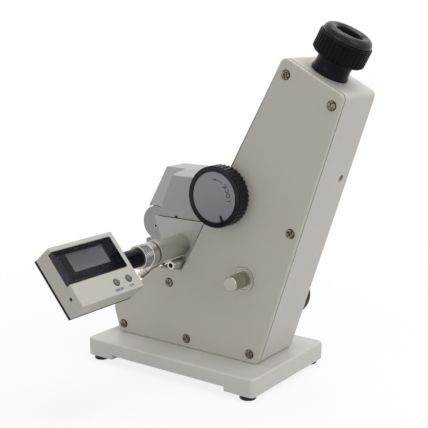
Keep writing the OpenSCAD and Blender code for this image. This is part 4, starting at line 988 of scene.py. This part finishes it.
# %% Build the buttons and print their marks
BUTTON_DOWN, MARK_DOWN, MARK_BESIDE, FACE = 13.3, 18.4, -1.2, 6.0
BUTTONS = {"button_power": ("power_button", -20.2, "ON/OFF"),
           "button_unit": ("unit_button", -9.0, "°C/°F")}
BUTTON_SECTION = [(0, 2.8), (3.1, 2.8), (3.1, 4.1), (2.2, 4.1), (2.2, 6.3), (2.05, 6.55), (1.6, 6.72),
                  (0.9, 6.8), (0, 6.8)]
marks = []
for node, (body, along_stem, words) in BUTTONS.items():
    button = spun(node + "_domed", BUTTON_SECTION, steps=40)
    smooth(button, 40)
    button.data.transform(DISPLAY_PLACE @ move(BUTTON_DOWN, along_stem, 0))
    hand_over(button, body, "button_grey", button_plastic, node)
    mark = ink_letters(words, 1.5, "mark_" + node, swell=0.05)
    mark.data.transform(DISPLAY_PLACE @ move(MARK_DOWN, along_stem + MARK_BESIDE, FACE + INK_OUT)
                        @ turn(90))
    marks.append(mark)
hand_over(join(marks, "button_marks"), "thermometer", "display_plastic", blue_ink)

# %% [markdown]
# ## The dispersion ring's scale
#
# The ring beside the far hand wheel carries a scale of 120 parts on its outer face. Each line is a
# thin strip, longest at every tenth and a little longer at every fifth, which is made upright at the
# ring's radius and then turned about the ring's centre to its place.

# %% Draw the dispersion ring's lines
RING_FAR, LINES_FROM, LINE_W, LINES = 24.6, 20.4, 0.16, 120
lines = []
for i in range(LINES):
    length = 1.5 if i % 10 == 0 else 0.9 if i % 5 == 0 else 0.6
    bpy.ops.mesh.primitive_plane_add(size=MM)
    line = bpy.context.object
    line.scale = (LINE_W, length, 1)
    settle(line)
    line.data.transform(turn(i * 360 / LINES) @ move(0, LINES_FROM + length / 2, 0))
    lines.append(line)
ring_lines = join(lines, "dispersion_ring_scale")
ring_lines.data.transform(Matrix.Translation(DISPERSION) @ move(0, RING_FAR + 0.02, 0) @ turn(-90, "X"))
hand_over(ring_lines, "dispersion", "dial_grey", black_ink)

# %% [markdown]
# ## The room
#
# A plain white floor and a white surround. Seen straight, in reflections and through glass, both are
# white, and near the object the floor keeps some of its own shading, so that the soft shadow shows.
# On the object the surround is dimmer, so that three lamps give the faces their tones: a large one
# overhead for the tops, one to the right for the rear wall, and a weak one in front for the cover.

# %% Lay the floor
bpy.ops.mesh.primitive_plane_add(size=6, location=(0, 0, 0))
floor = bpy.context.object
floor.name = "floor"
SHADE_R, SHADE_FADE, SHADE_SHARE = 0.16, 0.30, 0.17
OWN_GREY, WHITE = (0.55, 0.55, 0.55), (1, 1, 1)
floor_paint = Finish("floor_paint", Roughness=0.8)
shown = floor_paint.rays_seen()
floor_paint.wear(Base_Color=floor_paint.mix(shown, OWN_GREY, WHITE))
painted = Wire(floor_paint, floor_paint.shader.outputs[0])
glow = floor_paint.add("ShaderNodeEmission", None, {"Color": WHITE, "Strength": 1.0})
away = floor_paint.add("ShaderNodeVectorMath", {"operation": "LENGTH"},
                       {0: floor_paint.place()}, out="Value")
fade = ((away - SHADE_R) / SHADE_FADE).clamped()
glow_share = shown * (fade * SHADE_SHARE + (1 - SHADE_SHARE))
both = floor_paint.add("ShaderNodeMixShader", None, {0: glow_share, 1: painted, 2: glow})
floor_paint.feed(floor_paint.tree.nodes["Material Output"].inputs[0], both)
floor.data.materials.append(floor_paint.material)

# %% Light the room
AMBIENT = 0.42
world = bpy.data.worlds.new("studio")
bpy.context.scene.world = world
world.use_nodes = True
studio = Graph(world.node_tree)
background = studio.tree.nodes["Background"]
studio.feed(background.inputs["Color"], WHITE)
studio.feed(background.inputs["Strength"], studio.rays_seen() * (1 - AMBIENT) + AMBIENT)


def lamp(name, place, aim, power, size):
    light = bpy.data.lights.new(name, "AREA")
    light.energy, light.size = power, size
    holder = bpy.data.objects.new(name, light)
    holder.location = place
    holder.rotation_euler = (Vector(aim) - Vector(place)).to_track_quat("-Z", "Y").to_euler()
    bpy.context.scene.collection.objects.link(holder)


lamp("overhead", (0.25, 0.28, 1.5), (0, 0, 0.1), 11.0, 1.1)
lamp("from_the_right", (1.5, -0.2, 0.8), (0, 0, 0.1), 5.5, 1.0)
lamp("in_front", (-0.2, -1.5, 0.15), (0, 0, 0.0), 3.6, 1.0)
